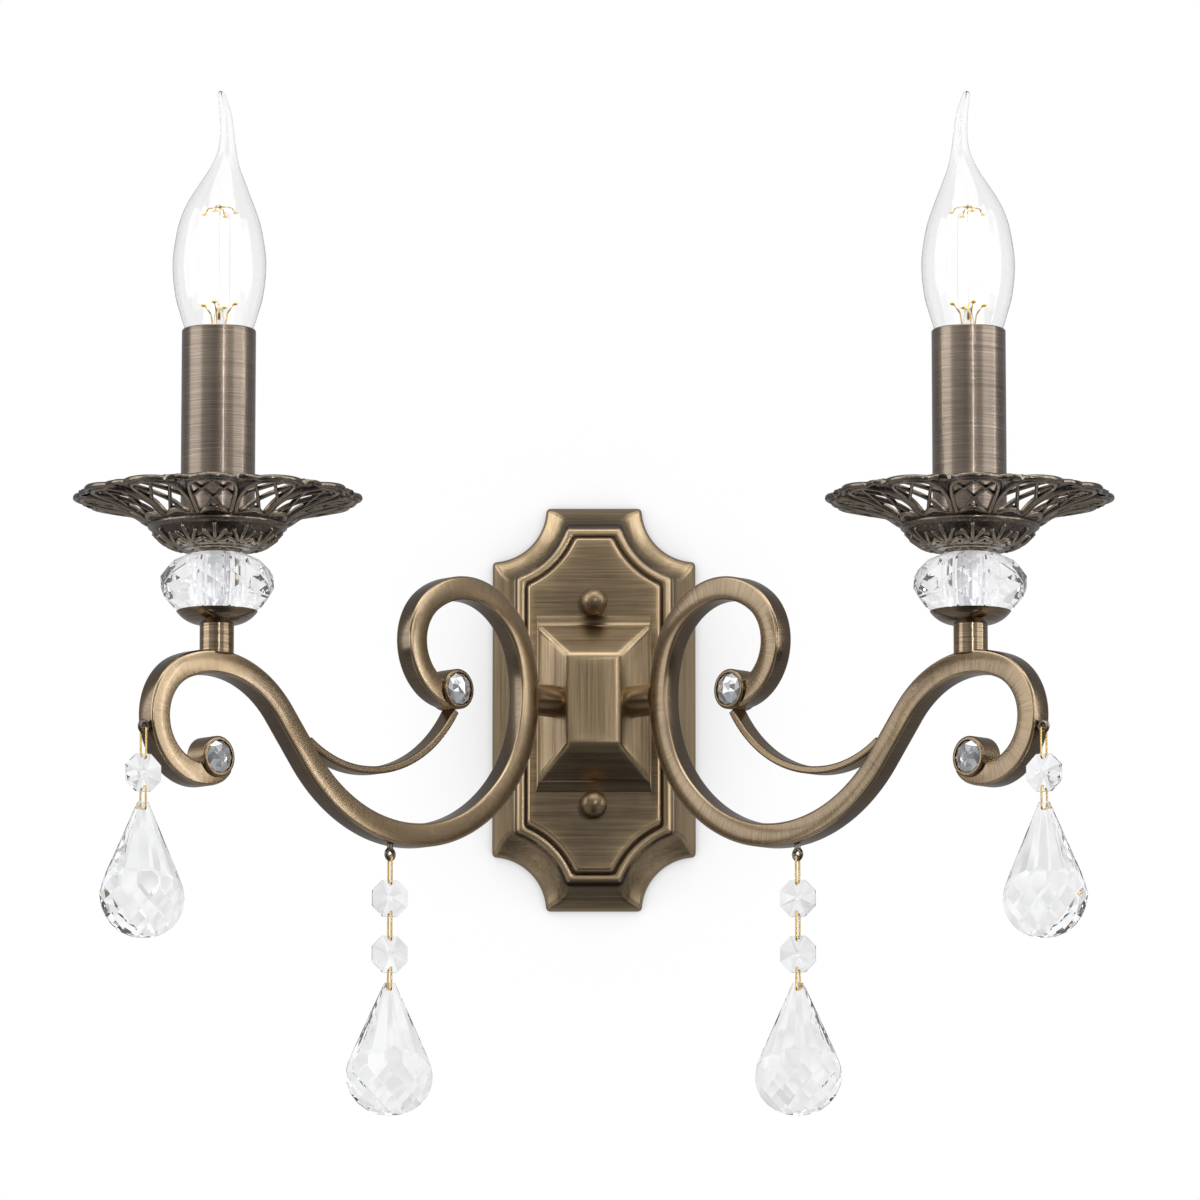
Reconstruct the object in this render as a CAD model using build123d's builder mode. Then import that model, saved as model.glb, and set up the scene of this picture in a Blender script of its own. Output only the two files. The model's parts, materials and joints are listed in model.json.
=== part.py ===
"""Double arm wall sconce with candle bulbs, pierced drip pans and crystal strands.

Millimetres, +Z up, origin on the wall in the middle of the back plate, the lamp
standing out towards -Y. Each side piece is drawn for the right arm and mirrored.
"""
import os
from math import cos, pi, radians, sin, sqrt

from build123d import *

os.makedirs("parts", exist_ok=True)

# ---------------------------------------------------------------- driving sizes
PLATE_HALF_W = 40.0
PLATE_HALF_H = 80.0
PLATE_WALL = 1.3
CORNER_X = 40.2
CORNER_R = 21.4
PLATE_SIDE = 3.5
RIDGE_INSET = 9.8
RIDGE_DEPTH = 14.5
FIELD_DEPTH = 17.8
BOX_DEPTH = 31.0
BOX_BASE = (43.4, 61.2)
BOX_FRONT = (20.0, 35.2)
NUT_Z = 40.0
BALL_R = 5.3
STUD_R = 2.0

BRACKET_W = 22.0
BRACKET_H = 120.0
BRACKET_T = 2.0
SCREW_Z = 26.0
SCREW_R = 2.25
SCREW_SLOT = 12.0
EARTH_Z = BRACKET_H / 2 - 9.0

ARM_YAW = 45.0
ARM_X = 16.2
ARM_Y = -25.6
BAR_DEPTH = 8.6
BAR_THICK = 9.2
BAR_ROUND = 1.9
BAR_WALL = 1.3
ARM_START = (55.8, -3.7)
# radius and turn of each bend, anticlockwise when positive
ARM_BENDS_IN = [(20.2, 143.5), (32.0, 108.5), (55.5, 61.0), (67.5, 97.5)]
ARM_STRAIGHT = 21.0
ARM_BENDS_OUT = [(44.0, -71.5), (20.7, -180.0), (7.5, -36.0)]
BRACE_START = (55.5, -9.6)
BRACE_BENDS = [(57.1, 58.2), (50.0, 34.0)]
BRACE_THICK = 3.0
BRACE_DEPTH = 7.4
STUB_R = 6.4
STUB_END = 13.0
NIPPLE_R = 4.0
CUP_R = 7.8
CUP_DEPTH = 10.4
CUP_BACK = -4.6
GEM_R = 6.2
GEM_SEAT = 3.0
CUP_FRONT = CUP_BACK + CUP_DEPTH
INNER_CUP = (55.8, -1.1)
OUTER_CUP = (180.4, -38.8)

STEM_U = 177.3
STEM_R = 6.45
STEM_TOP = 11.9
ROD_R = 4.0
ROD_BORE = 2.5
ROD_TOP = 57.0
DISH_R = 15.3
DISH_TOP = 16.9
BEAD_BOTTOM = 15.1
BEAD_TOP = 38.6
PAN_BOTTOM = 38.6
PAN_FLOOR = 41.8
PETALS = 12
PETAL_R = 54.6
PETAL_ARC = 14.1
SPANDREL_R = 53.4
SPANDREL_ARC = 8.8
RIM_DISC = 51.2
# distance out from the axis and half width of a petal's window
WINDOW = [(27.6, 5.4), (31.0, 6.5), (36.0, 7.4), (41.5, 7.8), (46.0, 7.1), (49.0, 4.9)]
WINDOW_TOP = 50.4
TONGUE_TOP = 30.0
LATTICE_X = (33.2, 46.4)
LATTICE_LEAN = 0.63
LATTICE_W = 1.4
SLEEVE_R = 14.0
SLEEVE_T = 0.8
SLEEVE_TOP = 124.2
HOLDER_R = 12.6
HOLDER_TOP = 112.0
CAP_R = 6.9
CAP_BOTTOM = 88.0
CAP_TOP = 113.0

WIRE_R = 0.4
HOLE_R = 0.47
LINK_HALF_W = 2.4
LINK_CORNER = 0.8
EYE_MAJOR = 1.9
EYE_MINOR = 0.8
EYE_REST = 0.62
OCT_HALF = 7.0
OCT_HOLE = 5.2
OCT_CENTRE_T = 6.4
OCT_EDGE_T = 1.4
DROP_H = 50.6
DROP_HOLE = 2.9
# along the arm, height and distance in front of its middle
INNER_EYE = (87.2, -67.5, 0.0)
OUTER_EYE = (215.1, -30.4, 1.6)
INNER_YAW = 17.0
OUTER_YAW = 28.0
INNER_BEADS = (-84.4, -105.8)
INNER_DROP_TOP = -116.8
OUTER_BEADS = (-47.7,)
OUTER_DROP_TOP = -58.7

# ------------------------------------------------------------------ right frame
C45 = cos(radians(ARM_YAW))
ARM_PLANE = Plane(origin=(ARM_X, ARM_Y, 0), x_dir=(C45, -C45, 0), z_dir=(-C45, -C45, 0))


def arm_point(u, v, n=0.0):
    """Row position of the arm plane's point (u, v), n mm in front of its middle."""
    return (ARM_X + C45 * (u - n), ARM_Y - C45 * (u + n), v)


STEM_AXIS = arm_point(STEM_U, 0)
STEM_XY = (STEM_AXIS[0], STEM_AXIS[1])


def export_sides(stem, right):
    """Write the right-hand piece and its mirror image."""
    with BuildPart() as side:
        add(right)
    side.part.label = "right_" + stem
    export_step(side.part, "parts/right_" + stem + ".step")
    with BuildPart() as other:
        mirror(right, about=Plane.YZ)
    other.part.label = "left_" + stem
    export_step(other.part, "parts/left_" + stem + ".step")


def export_one(stem, part):
    """Write one piece that both arms share."""
    part.label = stem
    export_step(part, "parts/" + stem + ".step")


def faceted(faces):
    """Closed solid from lists of corner points, one list a flat facet."""
    sides = [Face(Wire.make_polygon([Vector(*p) for p in f], close=True)) for f in faces]
    return Solid(Shell(sides))


def ring_facets(rings):
    """Triangles between rings with the same number of points, each turned half a step."""
    faces = []
    count = len(rings[0])
    for k in range(len(rings) - 1):
        low = rings[k]
        high = rings[k + 1]
        for i in range(count):
            j = (i + 1) % count
            if k % 2 == 0:
                faces.append([low[i], low[j], high[i]])
                faces.append([low[j], high[j], high[i]])
            else:
                faces.append([low[i], low[j], high[j]])
                faces.append([low[i], high[j], high[i]])
    faces.append(list(reversed(rings[0])))
    faces.append(rings[-1])
    return faces


# -------------------------------------------------------------------- back plate
def plate_outline(inset, arc_r):
    """Plate outline with four hollow corners, moved in by inset."""
    half_w = PLATE_HALF_W - inset
    half_h = PLATE_HALF_H - inset
    z = PLATE_HALF_H - sqrt(arc_r**2 - (CORNER_X - half_w) ** 2)
    x = CORNER_X - sqrt(arc_r**2 - (PLATE_HALF_H - half_h) ** 2)
    mid = arc_r * cos(radians(45))
    spots = [(1, 1), (1, -1), (-1, -1), (-1, 1)]
    with BuildLine() as outline:
        for i, (sx, sz) in enumerate(spots):
            side = (sx * half_w, sz * z)
            end = (sx * x, sz * half_h)
            bend = (sx * (CORNER_X - mid), sz * (PLATE_HALF_H - mid))
            ThreePointArc(side, bend, end)
            nx, nz = spots[(i + 1) % 4]
            if i % 2 == 0:
                Line((sx * half_w, sz * z), (nx * half_w, nz * z))
            else:
                Line((sx * x, sz * half_h), (nx * x, nz * half_h))
    return outline.line


PLATE_STEPS = [
    (0.0, 0.0, 0.0),
    (PLATE_SIDE, 0.0, 0.0),
    (PLATE_SIDE + 5.4, 4.8, 2.0),
    (RIDGE_DEPTH, RIDGE_INSET, 0.0),
    (RIDGE_DEPTH - 0.6, RIDGE_INSET + 2.6, 0.0),
    (FIELD_DEPTH - 0.7, RIDGE_INSET + 4.0, 0.3),
    (FIELD_DEPTH, RIDGE_INSET + 4.8, 0.4),
]


def plate_body(wall):
    """Stepped plate with the raised box, shrunk all over by wall."""
    with BuildPart() as body:
        for depth, inset, extra in PLATE_STEPS:
            level = max(depth - wall, 0.0)
            with BuildSketch(Plane.XZ.offset(level)):
                with BuildLine():
                    add(plate_outline(inset + wall, CORNER_R + inset + extra + wall))
                make_face()
        loft(ruled=True)
        base = FIELD_DEPTH - wall
        with BuildSketch(Plane.XZ.offset(base)):
            Rectangle(BOX_BASE[0] - 2 * wall, BOX_BASE[1] - 2 * wall)
        with BuildSketch(Plane.XZ.offset(BOX_DEPTH - wall)):
            Rectangle(BOX_FRONT[0] - 1.2 * wall, BOX_FRONT[1] - 1.2 * wall)
        loft(ruled=True)
    return body.part


with BuildPart() as plate_solid:
    add(plate_body(0.0))
    front = plate_solid.faces().sort_by(Axis.Y)[0]
    fillet(front.edges(), 1.2)

with BuildPart() as back_plate:
    add(plate_solid.part)
    add(plate_body(PLATE_WALL), mode=Mode.SUBTRACT)
    with BuildSketch(Plane.XZ):
        with Locations((0, NUT_Z), (0, -NUT_Z)):
            Circle(STUD_R + 0.2)
    extrude(amount=FIELD_DEPTH + 1, mode=Mode.SUBTRACT)
    for side_x in (1, -1):
        axis_plane = Plane(
            origin=(side_x * ARM_X, ARM_Y, 0),
            x_dir=(0, 0, 1),
            z_dir=(side_x * C45, -C45, 0),
        )
        with BuildSketch(axis_plane.offset(-8)):
            Circle(NIPPLE_R + 0.1)
        extrude(amount=16, mode=Mode.SUBTRACT)
export_one("back_plate", back_plate.part)

# ------------------------------------------------------- hidden wall ironmongery
with BuildPart() as wall_bracket:
    with BuildSketch(Plane.XZ):
        RectangleRounded(BRACKET_W, BRACKET_H, 4)
        with Locations((0, SCREW_Z), (0, -SCREW_Z)):
            SlotOverall(SCREW_SLOT, 2 * SCREW_R, rotation=90, mode=Mode.SUBTRACT)
        with Locations((0, NUT_Z), (0, -NUT_Z)):
            Circle(STUD_R + 0.05, mode=Mode.SUBTRACT)
        with Locations((0, EARTH_Z)):
            Circle(2.05, mode=Mode.SUBTRACT)
    extrude(amount=BRACKET_T)
export_one("wall_bracket", wall_bracket.part)

with BuildPart() as bracket_studs:
    with BuildSketch(Plane.XZ.offset(0.2)):
        with Locations((0, NUT_Z), (0, -NUT_Z)):
            Circle(STUD_R)
    extrude(amount=FIELD_DEPTH + 3.4)
    with BuildSketch(Plane.XZ.offset(BRACKET_T)):
        with Locations((0, NUT_Z), (0, -NUT_Z)):
            RegularPolygon(4.0, 6)
            Circle(STUD_R, mode=Mode.SUBTRACT)
    extrude(amount=2.6)
export_one("bracket_studs", bracket_studs.part)

with BuildPart() as cap_nuts:
    for nut_z in (NUT_Z, -NUT_Z):
        with BuildSketch(Plane.YZ):
            with Locations((-FIELD_DEPTH - 4.0, nut_z)):
                Circle(BALL_R)
            with Locations((-FIELD_DEPTH - 1.2, nut_z)):
                Rectangle(2.4, 9.2)
            with Locations((-FIELD_DEPTH + 6, nut_z)):
                Rectangle(12, 14, mode=Mode.SUBTRACT)
            with Locations((-FIELD_DEPTH - 5, nut_z - 10)):
                Rectangle(20, 20, mode=Mode.SUBTRACT)
            with Locations((-FIELD_DEPTH - 2, nut_z)):
                Rectangle(4, 2 * STUD_R + 0.1, mode=Mode.SUBTRACT)
        revolve(axis=Axis((0, 0, nut_z), (0, 1, 0)))
export_one("cap_nuts", cap_nuts.part)

BLOCK_Z = 0.0
with BuildPart() as terminal_block:
    with Locations((0, -BRACKET_T - 6, BLOCK_Z)):
        Box(26, 12, 14)
    fillet(terminal_block.edges().filter_by(Axis.Y), 1.0)
    with BuildSketch(Plane.XZ.offset(BRACKET_T + 12)):
        with Locations((-8, BLOCK_Z), (0, BLOCK_Z), (8, BLOCK_Z)):
            with Locations((0, 3.5), (0, -3.5)):
                Circle(1.85)
    extrude(amount=-7, mode=Mode.SUBTRACT)
    with BuildSketch(Plane.XY.offset(BLOCK_Z - 7)):
        with Locations((-8, -6.0), (0, -6.0), (8, -6.0)):
            Circle(1.5)
    extrude(amount=14, mode=Mode.SUBTRACT)
export_one("terminal_block", terminal_block.part)

with BuildPart() as terminal_screws:
    with BuildSketch(Plane.XZ.offset(BRACKET_T + 11.4)):
        with Locations((-8, BLOCK_Z), (0, BLOCK_Z), (8, BLOCK_Z)):
            with Locations((0, 3.5), (0, -3.5)):
                Circle(1.8)
                Rectangle(2.8, 0.5, mode=Mode.SUBTRACT)
    extrude(amount=-3.4)
    with BuildSketch(Plane.XZ.offset(BRACKET_T + 9)):
        with Locations((-8, BLOCK_Z), (0, BLOCK_Z), (8, BLOCK_Z)):
            with Locations((0, 3.5), (0, -3.5)):
                Circle(1.8)
    extrude(amount=-1.6)
export_one("terminal_screws", terminal_screws.part)

with BuildPart() as earth_screw:
    with BuildSketch(Plane.XZ.offset(BRACKET_T)):
        with Locations((0, EARTH_Z)):
            Circle(3.8)
    extrude(amount=2.4)
    with BuildSketch(Plane.XZ.offset(0.3)):
        with Locations((0, EARTH_Z)):
            Circle(2.0)
    extrude(amount=BRACKET_T)
export_one("earth_screw", earth_screw.part)

# --------------------------------------------------------------------- the arms
with BuildLine() as arm_line:
    cursor = None
    for radius, turn in ARM_BENDS_IN:
        if cursor is None:
            cursor = JernArc(ARM_START, (1, 0), radius, turn)
        else:
            cursor = JernArc(cursor @ 1, cursor % 1, radius, turn)
    run = Line(cursor @ 1, (cursor @ 1) + (cursor % 1) * ARM_STRAIGHT)
    cursor = run
    for radius, turn in ARM_BENDS_OUT:
        cursor = JernArc(cursor @ 1, cursor % 1, radius, turn)
ARM_WIRE = arm_line.wire()


def along(wire, width, depth, corner):
    """Rounded bar swept along a wire that lies in the drawing plane."""
    start = Plane(origin=wire @ 0, x_dir=(0, 0, 1), z_dir=wire % 0)
    with BuildPart() as bar:
        with BuildSketch(start):
            RectangleRounded(depth, width, corner)
        sweep(path=wire, transition=Transition.TRANSFORMED)
    return bar.part


BAR_OUTER = along(ARM_WIRE, BAR_THICK, BAR_DEPTH, BAR_ROUND)
BAR_INNER = along(
    ARM_WIRE, BAR_THICK - 2 * BAR_WALL, BAR_DEPTH - 2 * BAR_WALL, BAR_ROUND - BAR_WALL
)
# upright axis of the stem in the drawing plane
STEM_HOLE = Plane(origin=(STEM_U, -2.5, 0), x_dir=(0, 0, 1), z_dir=(0, 1, 0))

with BuildPart() as arm_flat:
    add(BAR_OUTER)
    add(BAR_INNER, mode=Mode.SUBTRACT)
    with Locations(INNER_CUP, OUTER_CUP):
        Cylinder(CUP_R + 0.02, 3 * CUP_DEPTH, mode=Mode.SUBTRACT)
    with BuildSketch(STEM_HOLE):
        Circle(ROD_BORE)
    extrude(amount=8, mode=Mode.SUBTRACT)
    with BuildSketch(Plane(origin=(8, 0, 0), x_dir=(0, 1, 0), z_dir=(1, 0, 0))):
        Circle(ROD_BORE)
    extrude(amount=7, mode=Mode.SUBTRACT)
export_sides("arm_tube", ARM_PLANE * arm_flat.part)

BRACE_HEAD = radians(-BRACE_BENDS[0][1])
with BuildLine() as brace_line:
    cursor = JernArc(BRACE_START, (cos(BRACE_HEAD), sin(BRACE_HEAD)), *BRACE_BENDS[0])
    JernArc(cursor @ 1, cursor % 1, *BRACE_BENDS[1])
with BuildPart() as brace_flat:
    add(along(brace_line.wire(), BRACE_THICK, BRACE_DEPTH, 0.8))
    add(BAR_OUTER, mode=Mode.SUBTRACT)
    with Locations(INNER_CUP):
        Cylinder(CUP_R, 3 * CUP_DEPTH, mode=Mode.SUBTRACT)
BRACE = brace_flat.part.solids().sort_by(SortBy.VOLUME)[-1]
export_sides("arm_brace", ARM_PLANE * BRACE)

with BuildPart() as cups_flat:
    with BuildSketch(Plane.XY.offset(CUP_BACK)):
        with Locations(INNER_CUP, OUTER_CUP):
            Circle(CUP_R)
    extrude(amount=CUP_DEPTH)
    fillet(cups_flat.edges().filter_by(GeomType.CIRCLE), 0.9)
    with BuildSketch(Plane.XY.offset(CUP_FRONT - GEM_SEAT)):
        with Locations(INNER_CUP, OUTER_CUP):
            Circle(GEM_R + 0.15)
    extrude(amount=GEM_SEAT, mode=Mode.SUBTRACT)
CUPS = ARM_PLANE * cups_flat.part
with BuildPart() as scroll_cups:
    add(CUPS)
    mirror(CUPS, about=Plane.YZ)
export_one("scroll_cups", scroll_cups.part)


GEM_BASE = CUP_FRONT - GEM_SEAT


def gem(spot):
    """Round brilliant seated in a scroll cup, table to the front."""
    count = 10
    rings = []
    for radius, height, shift in ((GEM_R, GEM_BASE, 0), (5.0, GEM_BASE + 2.1, 0.5), (3.0, GEM_BASE + 2.8, 0)):
        ring = []
        for i in range(count):
            angle = 2 * pi * (i + shift) / count
            ring.append((spot[0] + radius * cos(angle), spot[1] + radius * sin(angle), height))
        rings.append(ring)
    return faceted(ring_facets(rings))


with BuildPart() as gems_flat:
    add(gem(INNER_CUP))
    add(gem(OUTER_CUP))
GEMS = ARM_PLANE * gems_flat.part
with BuildPart() as scroll_gems:
    add(GEMS)
    mirror(GEMS, about=Plane.YZ)
export_one("scroll_gems", scroll_gems.part)

# stubs that carry the arms on the plate's box
with BuildPart() as stub_flat:
    with BuildSketch(Plane(origin=(-4, 0, 0), x_dir=(0, 1, 0), z_dir=(1, 0, 0))):
        Circle(STUB_R)
    extrude(amount=STUB_END + 4)
    add(BAR_OUTER, mode=Mode.SUBTRACT)
STUB_TUBE = ARM_PLANE * stub_flat.part.solids().sort_by(SortBy.VOLUME)[-1]
with BuildPart() as stub:
    add(STUB_TUBE)
    add(plate_solid.part, mode=Mode.SUBTRACT)
STUB_OUT = stub.part.solids().sort_by(SortBy.VOLUME)[-1]
STUB_AXIS = Plane(origin=(ARM_X, ARM_Y, 0), x_dir=(0, 0, 1), z_dir=(C45, -C45, 0))
with BuildPart() as arm_stub:
    add(STUB_OUT)
    with BuildSketch(STUB_AXIS.offset(-9)):
        Circle(NIPPLE_R)
    extrude(amount=14)
    with BuildSketch(STUB_AXIS.offset(-10)):
        Circle(ROD_BORE)
    extrude(amount=STUB_END + 14, mode=Mode.SUBTRACT)
with BuildPart() as arm_stubs:
    add(arm_stub.part)
    mirror(arm_stub.part, about=Plane.YZ)
export_one("arm_stubs", arm_stubs.part)

with BuildPart() as stub_nut:
    with BuildSketch(STUB_AXIS.offset(-7.2)):
        RegularPolygon(7.0, 6)
        Circle(NIPPLE_R, mode=Mode.SUBTRACT)
    extrude(amount=4.0)
with BuildPart() as stub_nuts:
    add(stub_nut.part)
    mirror(stub_nut.part, about=Plane.YZ)
export_one("stub_nuts", stub_nuts.part)

# ------------------------------------------------------------------ candle stack
STEM_LOC = Plane(origin=(STEM_XY[0], STEM_XY[1], 0))


def turned(points, closed=True):
    """Solid of revolution about the candle's axis from radius and height pairs."""
    with BuildPart() as solid:
        with BuildSketch(Plane.XZ):
            with BuildLine():
                Polyline(*points, close=closed)
            make_face()
        revolve(axis=Axis.Z)
    return STEM_LOC * solid.part


with BuildPart() as stem:
    add(turned([(ROD_R, 0.9), (STEM_R, 0.9), (STEM_R, STEM_TOP), (ROD_R, STEM_TOP)]))
    add(ARM_PLANE * BAR_OUTER, mode=Mode.SUBTRACT)
STEM = stem.part.solids().sort_by(SortBy.VOLUME)[-1]
export_sides("stem", STEM)

with BuildPart() as bead_cup:
    with BuildSketch(Plane.XZ):
        with BuildLine():
            Line((ROD_R, STEM_TOP), (6.4, STEM_TOP))
            ThreePointArc((6.4, STEM_TOP), (11.6, 13.5), (DISH_R, DISH_TOP))
            Line((DISH_R, DISH_TOP), (DISH_R - 0.9, DISH_TOP + 0.1))
            ThreePointArc((DISH_R - 0.9, DISH_TOP + 0.1), (10.8, 14.2), (6.4, 13.0))
            Line((6.4, 13.0), (ROD_R, 13.0))
            Line((ROD_R, 13.0), (ROD_R, STEM_TOP))
        make_face()
    revolve(axis=Axis.Z)
export_sides("bead_cup", STEM_LOC * bead_cup.part)

BEAD_RINGS = [
    (10.2, BEAD_BOTTOM),
    (17.6, 19.2),
    (21.6, 25.0),
    (21.6, 29.6),
    (18.4, 34.8),
    (10.6, BEAD_TOP),
]
BEAD_SIDES = 16


def bead_ring(radius, height, shift):
    """One ring of corners of the cut glass bead."""
    ring = []
    for i in range(BEAD_SIDES):
        angle = 2 * pi * (i + shift) / BEAD_SIDES
        ring.append((radius * cos(angle), radius * sin(angle), height))
    return ring


with BuildPart() as glass_bead:
    rings = []
    for k, (radius, height) in enumerate(BEAD_RINGS):
        rings.append(bead_ring(radius, height, 0.5 * (k % 2)))
    add(faceted(ring_facets(rings)))
    Cylinder(ROD_R + 0.6, 120, mode=Mode.SUBTRACT)
export_sides("glass_bead", STEM_LOC * glass_bead.part)

ROD_PROFILE = [(ROD_BORE, 3.6), (ROD_R, 3.6), (ROD_R, ROD_TOP), (ROD_BORE, ROD_TOP)]
export_sides("threaded_rod", turned(ROD_PROFILE))

with BuildPart() as pan:
    with BuildSketch(Plane.XZ):
        with BuildLine():
            Polyline((ROD_R, PAN_BOTTOM), (9.8, PAN_BOTTOM), (10.3, 39.6), (15.5, 40.0))
            Spline((15.5, 40.0), (21.2, 42.8), (25.9, 47.6), tangents=((1, 0.06), (0.6, 1)))
            Polyline((25.9, 47.6), (26.9, 47.9), (26.9, 49.6))
            Spline((26.9, 49.6), (32.6, 54.0), (43.6, 57.6), (55.6, 59.6))
            Line((55.6, 59.6), (55.4, 61.2))
            Spline((55.4, 61.2), (43.2, 59.3), (31.6, 55.7), (25.3, 50.6))
            Line((25.3, 50.6), (24.2, 49.2))
            Spline((24.2, 49.2), (20.4, 44.8), (15.6, PAN_FLOOR), tangents=((-0.6, -1), (-1, 0)))
            Polyline((15.6, PAN_FLOOR), (ROD_R, PAN_FLOOR), (ROD_R, PAN_BOTTOM))
        make_face()
    revolve(axis=Axis.Z)


def lattice_bar(start, end, width):
    """Corners of a straight lattice bar between two plan points."""
    dx = end[0] - start[0]
    dy = end[1] - start[1]
    length = sqrt(dx**2 + dy**2)
    nx = -dy / length * width / 2
    ny = dx / length * width / 2
    return [
        (start[0] + nx, start[1] + ny),
        (end[0] + nx, end[1] + ny),
        (end[0] - nx, end[1] - ny),
        (start[0] - nx, start[1] - ny),
    ]


BACK, REACH = 12.0, 24.0
with BuildSketch() as petal_window:
    with BuildLine() as window_line:
        top = (WINDOW_TOP, 0.0)
        side = Spline(*WINDOW, top, tangents=((1, 0.5), (0, -1)))
        mirror(side, about=Plane.XZ)
        ThreePointArc(side @ 0, (TONGUE_TOP, 0), (WINDOW[0][0], -WINDOW[0][1]))
    make_face()
    with BuildSketch(mode=Mode.SUBTRACT):
        for cross in LATTICE_X:
            for lean in (LATTICE_LEAN, -LATTICE_LEAN):
                low = (cross - BACK, -BACK * lean)
                high = (cross + REACH, REACH * lean)
                with BuildLine():
                    Polyline(*lattice_bar(low, high, LATTICE_W), close=True)
                make_face()

with BuildSketch() as scallops:
    Circle(RIM_DISC)
    with PolarLocations(PETAL_R - PETAL_ARC, PETALS):
        Circle(PETAL_ARC)
    with PolarLocations(SPANDREL_R - SPANDREL_ARC, PETALS, start_angle=180 / PETALS):
        Circle(SPANDREL_ARC)

with BuildPart() as bobeche:
    add(pan.part)
    with BuildSketch():
        Circle(70)
        add(scallops.sketch, mode=Mode.SUBTRACT)
    extrude(amount=90, mode=Mode.SUBTRACT)
    with BuildSketch(Plane.XY.offset(48)):
        with PolarLocations(0, PETALS):
            add(petal_window.sketch)
    extrude(amount=20, mode=Mode.SUBTRACT)
PAN = STEM_LOC * bobeche.part
export_sides("bobeche", PAN)

HOLDER_PROFILE = [
    (ROD_R, PAN_FLOOR + 0.1),
    (HOLDER_R, PAN_FLOOR + 0.1),
    (HOLDER_R, HOLDER_TOP),
    (7.2, HOLDER_TOP),
    (7.2, 84.0),
    (2.0, 84.0),
    (2.0, 80.0),
    (10.8, 80.0),
    (10.8, 52.0),
    (ROD_R, 52.0),
]
export_sides("lampholder", turned(HOLDER_PROFILE))

SLEEVE_IN = SLEEVE_R - SLEEVE_T
SLEEVE_PROFILE = [
    (SLEEVE_IN, PAN_FLOOR),
    (SLEEVE_R, PAN_FLOOR),
    (SLEEVE_R, SLEEVE_TOP - 0.4),
    (SLEEVE_R - 0.3, SLEEVE_TOP),
    (SLEEVE_IN, SLEEVE_TOP),
]
export_sides("candle_sleeve", turned(SLEEVE_PROFILE))

# height, radius and sideways lean of the bulb's bent tail
BULB_STATIONS = [
    (CAP_TOP, 8.0, 0.0),
    (118.0, 10.6, 0.0),
    (124.2, 12.75, 0.0),
    (130.0, 14.6, 0.0),
    (138.0, 16.7, 0.0),
    (149.5, 17.7, 0.0),
    (159.4, 16.6, 0.0),
    (166.5, 15.0, 0.0),
    (173.2, 12.4, 0.2),
    (180.0, 9.0, 1.0),
    (186.8, 5.6, 1.9),
    (193.5, 3.5, 2.6),
    (200.2, 2.7, 2.6),
    (207.2, 2.3, 2.0),
    (214.0, 1.5, 0.4),
]


def bulb_shape(skin, stations):
    """Smooth envelope through round sections, leaning towards the lamp's middle."""
    with BuildPart() as shape:
        for height, radius, lean in stations:
            with BuildSketch(Plane.XY.offset(height)):
                with Locations((-lean, 0)):
                    Circle(radius - skin)
        loft()
    return shape.part


INNER_STATIONS = [(CAP_TOP + 1.0, 8.4, 0.0)] + BULB_STATIONS[1:11]
with BuildPart() as bulb_glass:
    add(bulb_shape(0.0, BULB_STATIONS))
    with Locations((-0.2, 0, 215.0)):
        Sphere(1.7)
    add(bulb_shape(0.8, INNER_STATIONS), mode=Mode.SUBTRACT)
export_sides("bulb_glass", STEM_LOC * bulb_glass.part)

CAP_PROFILE = [(0, CAP_BOTTOM), (2.6, CAP_BOTTOM), (3.0, 90.6), (6.2, 92.6)]
for turn in range(7):
    CAP_PROFILE.append((CAP_R, 94.0 + 2.0 * turn))
    CAP_PROFILE.append((6.4, 95.0 + 2.0 * turn))
CAP_PROFILE += [(6.6, 109.0), (7.0, 111.0), (7.0, CAP_TOP), (0, CAP_TOP)]
export_sides("bulb_cap", turned(CAP_PROFILE))

FILAMENT_R = 7.0
with BuildPart() as bulb_filament:
    with Locations((0, 0, CAP_TOP + 1.0)):
        Cone(4.6, 1.6, 17.0, align=(Align.CENTER, Align.CENTER, Align.MIN))
    with Locations((0, 0, CAP_TOP + 17.0)):
        Cylinder(0.7, 42.0, align=(Align.CENTER, Align.CENTER, Align.MIN))
    with PolarLocations(FILAMENT_R, 4, start_angle=20):
        with Locations((0, 0, 135.0)):
            Cylinder(1.1, 33.0, align=(Align.CENTER, Align.CENTER, Align.MIN))
    with PolarLocations(FILAMENT_R / 2, 4, start_angle=20):
        with Locations(Location((0, 0, 136.0), (0, 90, 0)), Location((0, 0, 167.0), (0, 90, 0))):
            Cylinder(0.35, FILAMENT_R)
export_sides("bulb_filament", STEM_LOC * bulb_filament.part)


# --------------------------------------------------------------- crystal strands
def strand_plane(eye, yaw):
    """Upright plane of a strand: x across, y up, z out to the front, at the wire's rest."""
    origin = arm_point(eye[0], eye[1] - EYE_REST, eye[2])
    turn = radians(yaw)
    return Plane(origin=origin, x_dir=(cos(turn), -sin(turn), 0), z_dir=(-sin(turn), -cos(turn), 0))


def link_loop(top, bottom):
    """Wire loop standing in the plane that runs front to back."""
    with BuildLine(Plane.YZ) as half:
        FilletPolyline(
            (bottom, 0),
            (bottom, LINK_HALF_W),
            (top, LINK_HALF_W),
            (top, 0),
            radius=LINK_CORNER,
        )
    path = half.wire()
    with BuildPart() as loop:
        with BuildSketch(Plane(origin=path @ 0, z_dir=path % 0)):
            Circle(WIRE_R)
        sweep(path=path)
        mirror(about=Plane.XY)
    return loop.part


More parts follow.
